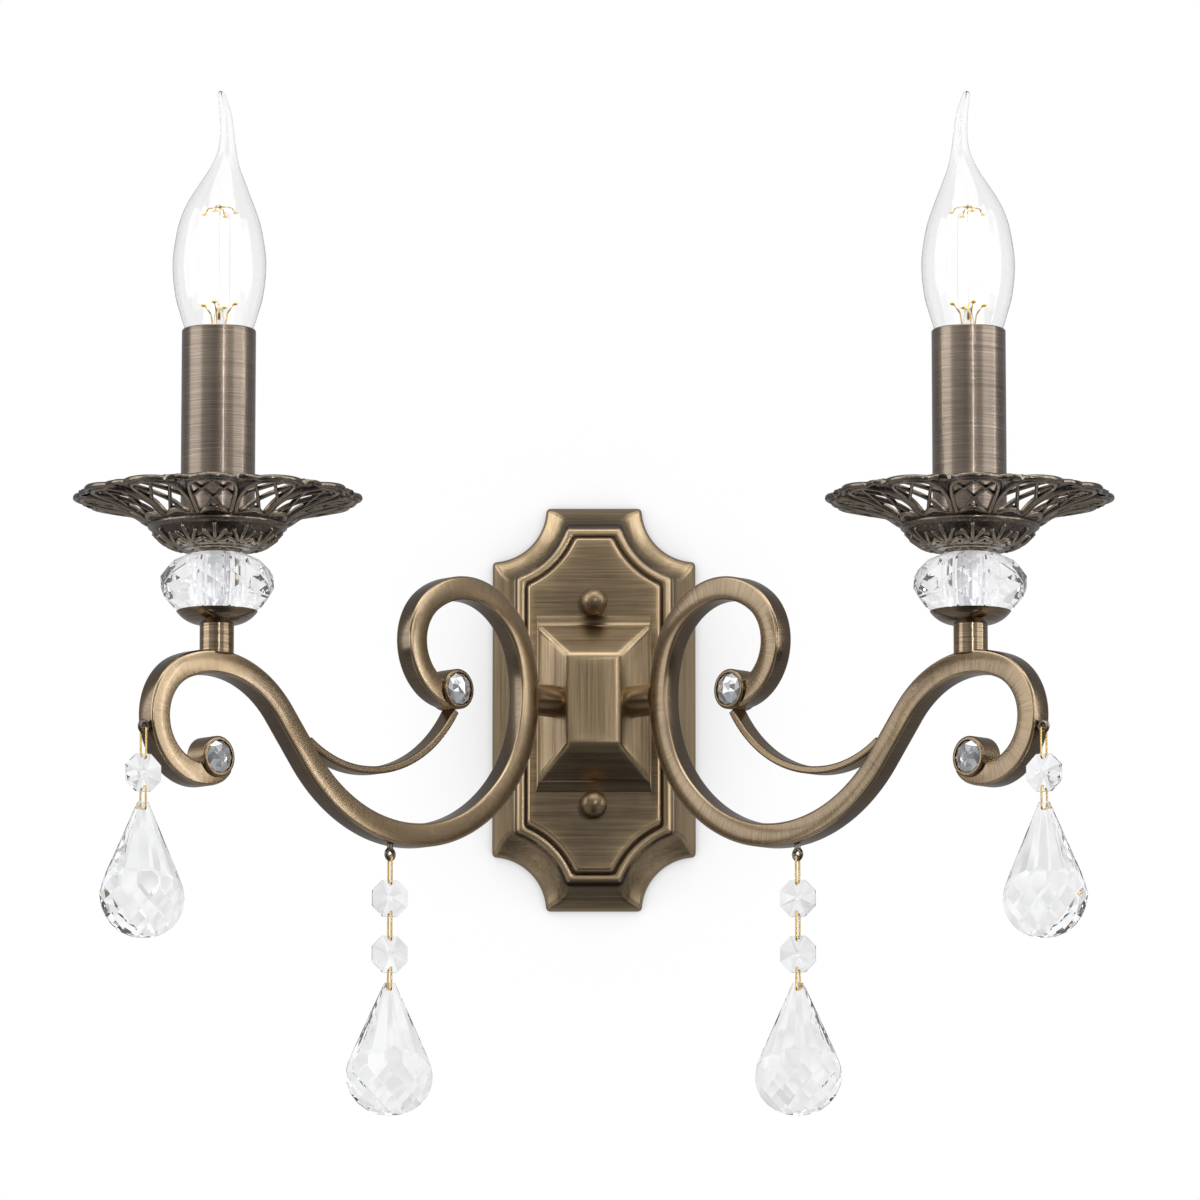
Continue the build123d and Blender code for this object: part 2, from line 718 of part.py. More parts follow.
def octagon_bead(middle):
    """Eight sided bead whose facets meet in the middle, with a hole above and below."""
    count = 8
    reach = OCT_HALF / cos(pi / count)
    front = []
    back = []
    for i in range(count):
        angle = 2 * pi * (i + 0.5) / count
        x = reach * cos(angle)
        y = middle + reach * sin(angle)
        front.append((x, y, OCT_EDGE_T / 2))
        back.append((x, y, -OCT_EDGE_T / 2))
    faces = []
    for i in range(count):
        j = (i + 1) % count
        faces.append([front[i], front[j], (0, middle, OCT_CENTRE_T / 2)])
        faces.append([back[j], back[i], (0, middle, -OCT_CENTRE_T / 2)])
        faces.append([back[i], back[j], front[j], front[i]])
    with BuildPart() as bead:
        add(faceted(faces))
        with Locations((0, middle + OCT_HOLE, 0), (0, middle - OCT_HOLE, 0)):
            Cylinder(HOLE_R, 10, mode=Mode.SUBTRACT)
    return bead.part


# half width and depth below the top of the drop's outline
DROP_OUTLINE = [
    (1.9, 0.0),
    (4.0, 4.6),
    (6.6, 11.0),
    (10.0, 18.4),
    (13.9, 25.6),
    (16.6, 32.4),
    (16.9, 37.6),
    (14.9, 43.2),
    (10.6, 47.6),
    (5.0, DROP_H),
]
# half width, depth and half thickness of the drop's raised facet corners
DROP_RAISED = [
    (0.0, 6.4, 1.9),
    (4.0, 14.5, 3.1),
    (7.4, 24.0, 4.6),
    (8.6, 34.0, 5.4),
    (5.0, 42.0, 4.6),
    (0.0, 45.4, 4.0),
]


def drop_body(top):
    """Flat teardrop with rhombic facets round a long table."""
    edge_t = 0.8
    right = [(x, top - d) for x, d in DROP_OUTLINE]
    left = [(-x, y) for x, y in reversed(right)]
    rim = right + left
    ring = [(x, top - d, t) for x, d, t in DROP_RAISED]
    ring += [(-x, y, t) for x, y, t in reversed(ring[1:-1])]
    near = [0, 0, 1, 1, 2, 2, 3, 3, 4, 5]
    owner = near + [(10 - n) % 10 for n in reversed(near)]
    crown = (0.0, top - 29.0, 6.6)
    faces = []
    count = len(rim)
    for side in (1, -1):
        for i in range(count):
            j = (i + 1) % count
            a = (rim[i][0], rim[i][1], side * edge_t)
            b = (rim[j][0], rim[j][1], side * edge_t)
            p = ring[owner[i]]
            q = ring[owner[j]]
            faces.append([a, b, (p[0], p[1], side * p[2])])
            if owner[i] != owner[j]:
                faces.append([b, (q[0], q[1], side * q[2]), (p[0], p[1], side * p[2])])
        for i in range(len(ring)):
            p = ring[i]
            q = ring[(i + 1) % len(ring)]
            tip = (crown[0], crown[1], side * crown[2])
            faces.append([(p[0], p[1], side * p[2]), (q[0], q[1], side * q[2]), tip])
    for i in range(count):
        j = (i + 1) % count
        faces.append(
            [
                (rim[i][0], rim[i][1], edge_t),
                (rim[i][0], rim[i][1], -edge_t),
                (rim[j][0], rim[j][1], -edge_t),
                (rim[j][0], rim[j][1], edge_t),
            ]
        )
    with BuildPart() as drop:
        add(faceted(faces))
        with Locations((0, top - DROP_HOLE, 0)):
            Cylinder(HOLE_R, 12, mode=Mode.SUBTRACT)
    return drop.part


def strand(prefix, eye, yaw, beads, drop_top):
    """Hang the links, beads and drop of one strand below its eye."""
    plane = strand_plane(eye, yaw)
    zero = eye[1] - EYE_REST
    top = 0.0
    for k, middle in enumerate(beads):
        number = "" if len(beads) == 1 else "_" + str(k + 1)
        local = middle - zero
        export_sides(prefix + "_link_" + str(k + 1), plane * link_loop(top, local + OCT_HOLE))
        export_sides(prefix + "_bead" + number, plane * octagon_bead(local))
        top = local - OCT_HOLE
    last = drop_top - zero
    name = prefix + "_link_" + str(len(beads) + 1)
    export_sides(name, plane * link_loop(top, last - DROP_HOLE))
    export_sides(prefix + "_drop", plane * drop_body(last))


strand("inner", INNER_EYE, INNER_YAW, INNER_BEADS, INNER_DROP_TOP)
strand("outer", OUTER_EYE, OUTER_YAW, OUTER_BEADS, OUTER_DROP_TOP)

with BuildPart() as eyes_flat:
    with Locations(INNER_EYE, OUTER_EYE):
        Torus(EYE_MAJOR, EYE_MINOR)
    inner_top = (INNER_EYE[0], INNER_EYE[1] + EYE_MAJOR, INNER_EYE[2])
    with BuildSketch(Plane(origin=inner_top, z_dir=(0, 1, 0))):
        Circle(1.2)
    extrude(amount=5)
    outer_side = (OUTER_EYE[0] - EYE_MAJOR, OUTER_EYE[1], OUTER_EYE[2])
    with BuildSketch(Plane(origin=outer_side, z_dir=(-1, 0, 0))):
        Circle(1.1)
    extrude(amount=3)
    add(BAR_OUTER, mode=Mode.SUBTRACT)
EYES = ARM_PLANE * eyes_flat.part
with BuildPart() as hook_eyes:
    add(EYES)
    mirror(EYES, about=Plane.YZ)
export_one("hook_eyes", hook_eyes.part)

# ------------------------------------------------------------ hidden small parts
NUT_SEAT = 52.0
with BuildPart() as rod_nut:
    with BuildSketch(Plane(origin=(STEM_XY[0], STEM_XY[1], NUT_SEAT))):
        RegularPolygon(7.4, 6)
        Circle(ROD_R, mode=Mode.SUBTRACT)
    extrude(amount=3.6)
with BuildPart() as rod_nuts:
    add(rod_nut.part)
    mirror(rod_nut.part, about=Plane.YZ)
export_one("rod_nuts", rod_nuts.part)
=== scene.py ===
import json
import random
from math import atan2, cos, hypot, pi, radians, sin, sqrt

import bmesh
import bpy
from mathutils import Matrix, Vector

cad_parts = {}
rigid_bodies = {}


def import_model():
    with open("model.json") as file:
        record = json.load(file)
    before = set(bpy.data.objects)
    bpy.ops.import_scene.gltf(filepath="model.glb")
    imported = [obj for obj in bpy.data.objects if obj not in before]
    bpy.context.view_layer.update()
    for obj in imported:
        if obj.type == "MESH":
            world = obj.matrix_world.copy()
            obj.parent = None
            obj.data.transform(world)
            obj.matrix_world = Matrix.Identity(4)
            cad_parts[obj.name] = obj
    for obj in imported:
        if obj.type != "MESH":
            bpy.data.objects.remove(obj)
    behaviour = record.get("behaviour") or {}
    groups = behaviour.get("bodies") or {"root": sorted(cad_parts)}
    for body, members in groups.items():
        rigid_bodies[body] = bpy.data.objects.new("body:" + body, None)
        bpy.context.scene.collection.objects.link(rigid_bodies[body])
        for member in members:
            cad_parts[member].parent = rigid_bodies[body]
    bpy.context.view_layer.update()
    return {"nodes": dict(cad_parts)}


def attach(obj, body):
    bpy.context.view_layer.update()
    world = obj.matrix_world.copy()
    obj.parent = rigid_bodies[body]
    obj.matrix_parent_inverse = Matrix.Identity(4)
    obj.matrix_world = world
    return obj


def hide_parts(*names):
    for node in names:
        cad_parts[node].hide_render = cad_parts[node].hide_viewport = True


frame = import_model()
nodes = frame["nodes"]
random.seed(7)
MM = 0.001
C45 = cos(radians(45))
ARM_ROOT = (16.2, -25.6)
STEM_REACH = 177.3
STEM = (ARM_ROOT[0] + C45 * STEM_REACH, ARM_ROOT[1] - C45 * STEM_REACH)
SIDES = (("right", 1), ("left", -1))
CORNERS = ((1, 1), (-1, 1), (-1, -1), (1, -1))


# ------------------------------ mesh helpers
def placed(name, data):
    """A new object in the scene."""
    obj = bpy.data.objects.new(name, data)
    bpy.context.collection.objects.link(obj)
    return obj


def make(
    name, verts, faces, material, body, stands_for=(),
    uvs=None, picks=None, smooth=True, rub=None,
):
    """A piece from points in millimetres, riding on a body and standing for CAD nodes."""
    mesh = bpy.data.meshes.new(name)
    mesh.from_pydata([Vector(v) * MM for v in verts], [], faces)
    looks = material if isinstance(material, (list, tuple)) else [material]
    for look in looks:
        mesh.materials.append(look)
    if picks:
        mesh.polygons.foreach_set("material_index", picks)
    if uvs:
        layer = mesh.uv_layers.new(name="UVMap")
        for loop in mesh.loops:
            layer.data[loop.index].uv = uvs[loop.vertex_index]
    if rub:
        mesh.attributes.new("rub", "FLOAT", "POINT").data.foreach_set("value", rub)
    mesh.validate()
    mesh.polygons.foreach_set("use_smooth", [smooth] * len(mesh.polygons))
    obj = placed(name, mesh)
    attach(obj, body)
    if stands_for:
        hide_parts(*stands_for)
    return obj


def weld(obj, distance=0.01, sharp=None):
    """Merge doubled points, turn the faces outwards and mark sharp edges."""
    bm = bmesh.new()
    bm.from_mesh(obj.data)
    bmesh.ops.remove_doubles(bm, verts=bm.verts, dist=distance * MM)
    bmesh.ops.recalc_face_normals(bm, faces=bm.faces)
    if sharp:
        for e in bm.edges:
            e.smooth = not (e.is_manifold and e.calc_face_angle(0) > radians(sharp))
    bm.to_mesh(obj.data)
    bm.free()


def curve_at(points, x):
    """Smooth curve through points, read at x."""
    if x <= points[0][0]:
        return points[0][1]
    if x >= points[-1][0]:
        return points[-1][1]
    k = 0
    while points[k + 1][0] < x:
        k += 1
    x0, y0 = points[k]
    x1, y1 = points[k + 1]
    slope = (y1 - y0) / (x1 - x0)
    before = slope if k == 0 else (y1 - points[k - 1][1]) / (x1 - points[k - 1][0])
    after = slope if k + 2 == len(points) else (points[k + 2][1] - y0) / (points[k + 2][0] - x0)
    t = (x - x0) / (x1 - x0)
    h = x1 - x0
    a = (2 * t**3 - 3 * t**2 + 1) * y0 + (t**3 - 2 * t**2 + t) * h * before
    return a + (-2 * t**3 + 3 * t**2) * y1 + (t**3 - t**2) * h * after


def rows_to_faces(rows, width):
    """Quads between closed rings of points that are numbered ring by ring."""
    faces = []
    for r in range(rows - 1):
        for i in range(width):
            j = (i + 1) % width
            faces.append((r * width + i, r * width + j, (r + 1) * width + j, (r + 1) * width + i))
    return faces


def join_ends(rows, width):
    """Quads from the last row of points back to the first."""
    last = (rows - 1) * width
    return [(last + i, last + (i + 1) % width, (i + 1) % width, i) for i in range(width)]


def capped(rows, width):
    """Quads round a tube of rings, with a face at each end."""
    faces = rows_to_faces(rows, width)
    faces.append(tuple(reversed(range(width))))
    faces.append(tuple(range((rows - 1) * width, rows * width)))
    return faces


def shifted(faces, start):
    """Faces renumbered from start."""
    return [tuple(start + i for i in f) for f in faces]


def arm_point(u, v, n):
    """Right arm's drawing plane to the object's frame."""
    return (ARM_ROOT[0] + C45 * (u - n), ARM_ROOT[1] - C45 * (u + n), v)


def bends(start, heading, parts, step=1.1):
    """Points and headings along arcs (radius, turn) and straight runs (length,)."""
    x, y = start
    a = radians(heading)
    path = [(x, y, a)]
    for part in parts:
        if len(part) == 1:
            count = max(2, int(part[0] / step))
            for _ in range(count):
                x += cos(a) * part[0] / count
                y += sin(a) * part[0] / count
                path.append((x, y, a))
            continue
        radius, turn = part
        count = max(3, int(radius * abs(radians(turn)) / step))
        da = radians(turn) / count
        for _ in range(count):
            chord = 2 * radius * sin(abs(da) / 2)
            x += chord * cos(a + da / 2)
            y += chord * sin(a + da / 2)
            a += da
            path.append((x, y, a))
    return path


def rounded_box_profile(width, depth, corner, segments=5):
    """Corners of a rounded rectangle, anticlockwise."""
    points = []
    for k, (sx, sy) in enumerate(CORNERS):
        for i in range(segments + 1):
            a = (k + i / segments) * pi / 2
            points.append((sx * (width / 2 - corner) + corner * cos(a), sy * (depth / 2 - corner) + corner * sin(a)))
    return points


def sweep(path, profile):
    """Tube along a path in the arm's plane, with its unrolled coordinates in metres."""
    verts, uvs = [], []
    around = [0.0]
    for (p0, q0), (p1, q1) in zip(profile, profile[1:]):
        around.append(around[-1] + hypot(p1 - p0, q1 - q0))
    run = 0.0
    last_x, last_y, _ = path[0]
    for x, y, a in path:
        run += hypot(x - last_x, y - last_y)
        last_x, last_y = x, y
        for (p, q), w in zip(profile, around):
            verts.append((x - sin(a) * p, y + cos(a) * p, q))
            uvs.append((run * MM, w * MM))
    return verts, capped(len(path), len(profile)), uvs


def lathe(profile, count):
    """Surface of revolution about Z from (radius, height) pairs."""
    verts = []
    for r, z in profile:
        for i in range(count):
            a = 2 * pi * i / count
            verts.append((r * cos(a), r * sin(a), z))
    return verts, rows_to_faces(len(profile), count)


def to_side(points, sign, centre=(0, 0)):
    """Put right-hand points in place, mirrored for the left side."""
    return [(sign * (x + centre[0]), y + centre[1], z) for x, y, z in points]


def cut_solid(planes, size):
    """Convex body left inside a set of planes (point, outward normal)."""
    bm = bmesh.new()
    bmesh.ops.create_cube(bm, size=size)
    for point, normal in planes:
        cut = bmesh.ops.bisect_plane(
            bm, geom=bm.verts[:] + bm.edges[:] + bm.faces[:], plane_co=point, plane_no=normal,
            clear_outer=True, dist=1e-5,
        )
        edges = [g for g in cut["geom_cut"] if isinstance(g, bmesh.types.BMEdge)]
        if edges:
            bmesh.ops.contextual_create(bm, geom=edges)
    bmesh.ops.remove_doubles(bm, verts=bm.verts, dist=1e-4)
    bm.verts.index_update()
    verts = [tuple(v.co) for v in bm.verts]
    faces = [tuple(v.index for v in f.verts) for f in bm.faces]
    bm.free()
    return verts, faces


# ------------------------------ node helpers
def node(tree, kind, **values):
    """One shader node with its settings and input values."""
    n = tree.nodes.new("ShaderNode" + kind)
    for key, value in values.items():
        if key in n.inputs:
            n.inputs[key].default_value = value
        else:
            setattr(n, key, value)
    return n


def new_material(name):
    """An empty material with its shader and output."""
    m = bpy.data.materials.new(name)
    m.use_nodes = True
    tree = m.node_tree
    tree.nodes.clear()
    shader = node(tree, "BsdfPrincipled")
    tree.links.new(shader.outputs[0], node(tree, "OutputMaterial").inputs[0])
    return m, tree, shader


def ramp(tree, source, stops):
    """A colour ramp on a value."""
    r = node(tree, "ValToRGB")
    while len(r.color_ramp.elements) < len(stops):
        r.color_ramp.elements.new(0.5)
    for e, (place, colour) in zip(r.color_ramp.elements, stops):
        e.position = place
        if isinstance(colour, (int, float)):
            colour = (colour, colour, colour)
        e.color = (*colour, 1)
    tree.links.new(source, r.inputs[0])
    return r.outputs[0]


def scaled_noise(tree, coords, scale, detail, rough=0.5):
    """Noise stretched by a per-axis scale."""
    mapping = node(tree, "Mapping")
    mapping.inputs["Scale"].default_value = scale
    tree.links.new(coords, mapping.inputs[0])
    noise = node(tree, "TexNoise", Scale=1.0, Detail=detail, Roughness=rough)
    tree.links.new(mapping.outputs[0], noise.inputs["Vector"])
    return noise.outputs[0]


def plug(tree, socket, value):
    """Link a socket, or set it to a number or a colour."""
    if isinstance(value, bpy.types.NodeSocket):
        tree.links.new(value, socket)
    elif isinstance(value, (int, float)):
        socket.default_value = value
    else:
        socket.default_value = (*value, 1)


def fit(tree, shader, **inputs):
    """Set or link a shader's inputs, written with _ for the spaces in their names."""
    for name, value in inputs.items():
        plug(tree, shader.inputs[name.replace("_", " ")], value)


def mix_colour(tree, factor, a, b, mode="MIX"):
    """Mix two colours, as sockets or values."""
    m = node(tree, "Mix", data_type="RGBA", blend_type=mode)
    for index, value in ((0, factor), (6, a), (7, b)):
        plug(tree, m.inputs[index], value)
    return m.outputs[2]


def maths(tree, operation, *values):
    """One maths node on sockets or numbers."""
    m = node(tree, "Math", operation=operation)
    for socket, value in zip(m.inputs, values):
        plug(tree, socket, value)
    return m.outputs[0]


# ------------------------------ materials
SOOT_AND_SHADE = (0.040, 0.034, 0.034)
CLOUD_SCALE = (38, 38, 38)
BROAD_LINES = 0.22  # scale of the broad brush lines beside the fine ones
LINE_SHARE = 0.75  # share of the brush lines in the tone, beside the cloudy rest
RUBBED_AND_LIT = 1.35  # brightness of rubbed places, wear and painted highlight, beside the light tone
MICRO_RELIEF = 0.0002


def surface_relief(tree, shader, height, strength):
    """Fine bumps of a surface."""
    bump = node(tree, "Bump", Strength=strength, Distance=MICRO_RELIEF)
    tree.links.new(height, bump.inputs["Height"])
    tree.links.new(bump.outputs[0], shader.inputs["Normal"])


def brushed_metal(
    name, dark, mid, light, rough, brush,
    bump, patina=0.75, anis=0.0, uv=False, coat=0.4, coarse=0.35,
):
    """Lacquered metal with brush lines, cloudy colour, hollows darkened as patina and painted shade, and a wear value
    that paints rubbed wear, highlight and shade.

    brush scales the lines along each axis, and coarse is the share of broad lines.
    """
    m, tree, shader = new_material(name)
    coords = node(tree, "TexCoord").outputs["Object"]
    cloud = scaled_noise(tree, coords, CLOUD_SCALE, detail=4)
    lay = node(tree, "TexCoord").outputs["UV"] if uv else coords
    fine = scaled_noise(tree, lay, brush, detail=4, rough=0.65)
    broad = scaled_noise(tree, lay, tuple(b * BROAD_LINES for b in brush), detail=2)
    fine_part = maths(tree, "MULTIPLY", fine, 1.0 - coarse)
    lines = maths(tree, "ADD", fine_part, maths(tree, "MULTIPLY", broad, coarse))
    line_part = maths(tree, "MULTIPLY", lines, LINE_SHARE)
    tone = maths(tree, "ADD", line_part, maths(tree, "MULTIPLY", cloud, 1.0 - LINE_SHARE))
    base = ramp(tree, tone, [(0.36, dark), (0.5, mid), (0.64, light)])

    # Hollows are darkened by ambient occlusion: patina and painted shade.
    hollow_patina_and_shade = node(tree, "AmbientOcclusion", Distance=0.006, samples=8, only_local=True)
    shade = ramp(tree, hollow_patina_and_shade.outputs["AO"], [(0.25, 0.0), (0.85, 1.0)])
    base = mix_colour(tree, maths(tree, "MULTIPLY", maths(tree, "SUBTRACT", 1.0, shade), patina), base, SOOT_AND_SHADE)

    # Each point's wear value: above nought rubbed wear and painted highlight, below it soot and painted shade.
    worn_and_lit = node(tree, "Attribute", attribute_name="rub").outputs["Fac"]
    bright = maths(tree, "MULTIPLY", ramp(tree, worn_and_lit, [(0.0, 0.0), (1.0, 1.0)]), 0.75)
    base = mix_colour(tree, bright, base, tuple(min(1.0, c * RUBBED_AND_LIT) for c in light))
    sooty_and_shaded = maths(tree, "MULTIPLY", worn_and_lit, -1.0)
    base = mix_colour(tree, ramp(tree, sooty_and_shaded, [(0.0, 0.0), (1.0, 0.92)]), base, SOOT_AND_SHADE)

    matt = ramp(tree, tone, [(0.3, rough + 0.01), (0.7, rough - 0.01)])
    fit(tree, shader, Base_Color=base, Roughness=matt, Metallic=1.0, Coat_Weight=coat, Coat_Roughness=0.06)
    if anis:
        around = node(tree, "Tangent", direction_type="RADIAL", axis="Z").outputs[0]
        fit(tree, shader, Anisotropic=anis, Tangent=around)
    surface_relief(tree, shader, lines, bump)
    return m


def glass(name, tint, ior, edge=0.0, glow=0.0):
    """Clear glass with the faintest waves in its polish, edge greyer where it turns away."""
    m, tree, shader = new_material(name)
    coords = node(tree, "TexCoord").outputs["Object"]
    waves = scaled_noise(tree, coords, (160, 160, 160), detail=2)
    if edge:
        facing = node(tree, "LayerWeight", Blend=0.5).outputs["Facing"]
        fall = ((0.0, 0.965), (0.4, 0.945), (0.72, 0.91), (0.96, 1 - edge))
        tint = ramp(tree, facing, [(place, tuple(c * share for c in tint)) for place, share in fall])
    # A faint painted glow: the glass gives off a little light of its own.
    if glow:
        fit(tree, shader, Emission_Color=(0.94, 0.97, 1.0), Emission_Strength=glow)
    haze = ramp(tree, waves, [(0.3, 0.0), (0.8, 0.02)])
    fit(tree, shader, Base_Color=tint, Transmission_Weight=1.0, IOR=ior, Roughness=haze)
    surface_relief(tree, shader, waves, 0.02)
    return m


def plain(name, colour, rough, metal=0.0, emission=0.0):
    """Small hidden or plain parts: a slightly mottled finish."""
    m, tree, shader = new_material(name)
    coords = node(tree, "TexCoord").outputs["Object"]
    spots = scaled_noise(tree, coords, (300, 300, 300), detail=3)
    base = ramp(tree, spots, [(0.3, tuple(c * 0.86 for c in colour)), (0.7, colour)])
    matt = ramp(tree, spots, [(0.3, rough + 0.06), (0.7, rough)])
    fit(tree, shader, Base_Color=base, Roughness=matt, Metallic=metal)
    if emission:
        fit(tree, shader, Emission_Color=base, Emission_Strength=emission)
    return m


BRASS = ((0.20, 0.135, 0.075), (0.37, 0.268, 0.155), (0.57, 0.43, 0.262))
ARM_BRASS = ((0.23, 0.160, 0.092), (0.335, 0.242, 0.143), (0.45, 0.335, 0.205))
TURNED_BRASS = ((0.15, 0.10, 0.06), (0.30, 0.215, 0.13), (0.5, 0.38, 0.24))
CUP_BRASS = ((0.27, 0.19, 0.11), (0.315, 0.227, 0.133), (0.37, 0.275, 0.167))
SLEEVE_BRONZE = ((0.145, 0.11, 0.085), (0.24, 0.187, 0.142), (0.38, 0.30, 0.232))
CAST_BRONZE = ((0.10, 0.084, 0.068), (0.17, 0.14, 0.11), (0.45, 0.37, 0.28))
PLATED = ((0.62, 0.62, 0.64), (0.78, 0.78, 0.80), (0.92, 0.92, 0.94))
CRYSTAL_TINT = (0.93, 0.932, 0.94)
M_PLATE = brushed_metal("plate_brass", *BRASS, 0.33, (30, 1300, 1300), bump=0.06)
M_PLATE_V = brushed_metal("plate_brass_upright", *BRASS, 0.33, (1300, 1300, 30), bump=0.06)
M_ARM = brushed_metal(
    "arm_brass", *ARM_BRASS, 0.2, (3600, 60, 1), bump=0.0015, uv=True, coat=0.7, coarse=0.0, patina=0.0
)
M_TURNED = brushed_metal("turned_brass", *TURNED_BRASS, 0.18, (60, 60, 2600), bump=0.012, coat=0.8)
M_SLEEVE = brushed_metal(
    "sleeve_bronze", *SLEEVE_BRONZE, 0.25, (30, 30, 3000), bump=0.012, anis=0.6, coat=1.0, coarse=0.2
)
M_CUP = brushed_metal("cup_brass", *CUP_BRASS, 0.25, (1500, 1500, 1500), bump=0.001, coarse=0.0, patina=0.0)
M_NUT = brushed_metal("nut_brass", *ARM_BRASS, 0.40, (900, 900, 900), bump=0.02, coat=0.15, coarse=0.2)
M_BRONZE = brushed_metal("cast_bronze", *CAST_BRONZE, 0.24, (900, 900, 900), bump=0.04, patina=0.7)
M_ROD = brushed_metal("plated_rod", *PLATED, 0.35, (200, 200, 2500), bump=0.02, patina=0.3)
M_GEM = plain("foiled_stone", (0.86, 0.88, 0.92), 0.08, 0.85)
M_GOLD = plain("gold_wire", (0.86, 0.60, 0.22), 0.16, 1.0)
M_STEEL = plain("zinc_steel", (0.55, 0.56, 0.57), 0.30, 1.0)
M_PLASTIC = plain("white_plastic", (0.86, 0.85, 0.82), 0.45)
M_CAP = plain("bulb_brass", (0.74, 0.58, 0.32), 0.25, 1.0)
# Crystal and bead glass carry a faint painted glow.
M_CRYSTAL = glass("cut_crystal", CRYSTAL_TINT, 1.47, glow=0.018)
M_BEAD = glass("bead_glass", CRYSTAL_TINT, 1.40, glow=0.022)
M_BULB = glass("bulb_glass", (1.0, 1.0, 1.0), 1.45, edge=0.24)
M_FILAMENT = plain("lit_filament", (1.0, 0.90, 0.70), 0.5, 0.0, 3.2)

LOOK = {
    "back_plate": M_PLATE, "cap_nuts": M_NUT, "arm_stubs": M_CUP, "scroll_cups": M_CUP,
    "scroll_gems": M_GEM, "hook_eyes": M_BRONZE, "arm_tube": M_ARM, "arm_brace": M_CUP,
    "stem": M_TURNED, "bead_cup": M_TURNED, "glass_bead": M_CRYSTAL, "threaded_rod": M_ROD,
    "bobeche": M_BRONZE, "lampholder": M_PLASTIC, "candle_sleeve": M_SLEEVE, "bulb_glass": M_BULB,
    "bulb_cap": M_CAP, "bulb_filament": M_FILAMENT, "terminal_block": M_PLASTIC,
}
for name, obj in nodes.items():
    short = name.replace("left_", "").replace("right_", "")
    if short in LOOK:
        look = LOOK[short]
    elif "link" in short:
        look = M_GOLD
    elif "bead" in short or "drop" in short:
        look = M_CRYSTAL
    else:
        look = M_STEEL
    for s in obj.material_slots:
        s.material = look
        s.material = look
# ------------------------------ back plate
PLATE_HALF = (40.0, 80.0)
HOLLOW_AT = (40.2, 80.0)
HOLLOW_R = 21.4
TIP_STEPS, ARC_STEPS, SIDE_STEPS = 5, 18, 8
FIELD = 17.8


def plate_loop(inset, depth, extra):
    """One level line of the plate: four hollow corners with rounded tips."""
    half_w, half_h = PLATE_HALF[0] - inset, PLATE_HALF[1] - inset
    cx, cz = HOLLOW_AT
    arc_r = HOLLOW_R + inset + extra
    tip = 1.9 if inset < 9 else 1.2
    start = atan2(-sqrt(arc_r**2 - (cx - half_w) ** 2), half_w - cx)
    end = atan2(half_h - cz, -sqrt(arc_r**2 - (cz - half_h) ** 2))
    if end > 0:
        end -= 2 * pi

    def on_arc(a):
        return Vector((cx + arc_r * cos(a), cz + arc_r * sin(a)))

    def on_tip(t, a, b, c):
        return (1 - t) ** 2 * a + 2 * t * (1 - t) * b + t * t * c

    first, last = on_arc(start), on_arc(end)
    trim = (end - start) / abs(end - start) * tip / arc_r
    low = Vector((first.x, first.y - tip))
    high = Vector((last.x - tip, last.y))
    corner = [on_tip(i / TIP_STEPS, low, first, on_arc(start + trim)) for i in range(TIP_STEPS)]
    for i in range(ARC_STEPS + 1):
        corner.append(on_arc(start + trim + (end - start - 2 * trim) * i / ARC_STEPS))
    corner += [on_tip(i / TIP_STEPS, on_arc(end - trim), last, high) for i in range(1, TIP_STEPS + 1)]
    corner = [(p.x, p.y) for p in corner]
    parts = [
        corner,
        [(-x, z) for x, z in reversed(corner)],
        [(-x, -z) for x, z in corner],
        [(x, -z) for x, z in reversed(corner)],
    ]
    loop = []
    for k, part in enumerate(parts):
        loop += part
        x0, z0 = part[-1]
        x1, z1 = parts[(k + 1) % 4][0]
        for i in range(1, SIDE_STEPS):
            loop.append((x0 + (x1 - x0) * i / SIDE_STEPS, z0 + (z1 - z0) * i / SIDE_STEPS))
    return [(x, -depth, z) for x, z in loop]


# Level lines of the face from the rim inwards: inset, depth and extra radius of the hollows.
LEVELS = [(0.5, 0.0, 0), (0.0, 0.5, 0), (0.0, 1.7, 0), (0.15, 2.5, 0), (0.5, 3.2, 0), (1.1, 4.0, 0)]
for i in range(1, 11):
    t = i / 10
    LEVELS.append((1.1 + 7.9 * t, 4.0 + 9.6 * t, 9.0 * t * (1 - t)))
LEVELS += [(9.3, 13.72, 0), (9.7, 13.78, 0), (10.0, 14.05, 0), (10.4, 14.45, 0), (11.0, 14.72, 0)]
LEVELS += [(11.7, 14.78, 0), (12.5, 14.68, 0), (13.1, 14.5, 0), (13.35, 14.25, 0), (13.5, 14.25, 0.1)]
LEVELS += [(13.7, 15.3, 0.2), (14.0, 16.6, 0.3), (14.35, 17.4, 0.4), (14.9, FIELD, 0.4)]
LEVELS += [(x, FIELD, 0.4) for x in (15.5, 16.5, 18.0, 20.5, 24.0)]
# Inside of the pressed sheet, about 1 mm behind the face, from its rim to its middle.
INNER = [(1.3, 0.0, 0), (1.3, 2.6, 0)]
INNER += [(2.1 + 7.9 * t, 3.2 + 9.4 * t, 9.0 * t * (1 - t)) for t in (0, 0.2, 0.4, 0.6, 0.8, 1)]
INNER += [(13.9, 13.1, 0.1), (15.0, 16.5, 0.4), (24.0, 16.7, 0.4)]
INNER_WEAR = -0.25
# Wear and painted light by inset: rim, crest and field edge lighter as rubbed wear and painted highlight, grooves
# between them darker as painted shade.
WEAR_AND_LIGHT_BY_INSET = [
    (0.0, 0.5), (0.6, 0.75), (1.3, 0.6), (3.2, 0.2), (6.2, 0.05), (8.2, -0.15), (9.0, -0.6),
    (9.6, -0.95), (10.0, -0.2), (10.5, 0.55), (11.4, 0.95), (12.4, 0.5), (13.1, 0.05), (13.35, -0.7),
    (13.5, -0.7), (13.7, -0.35), (14.0, 0.1), (14.35, 1.0), (14.9, 0.7), (16.5, 0.05), (20.5, -0.2),
    (24.0, -0.3),
]


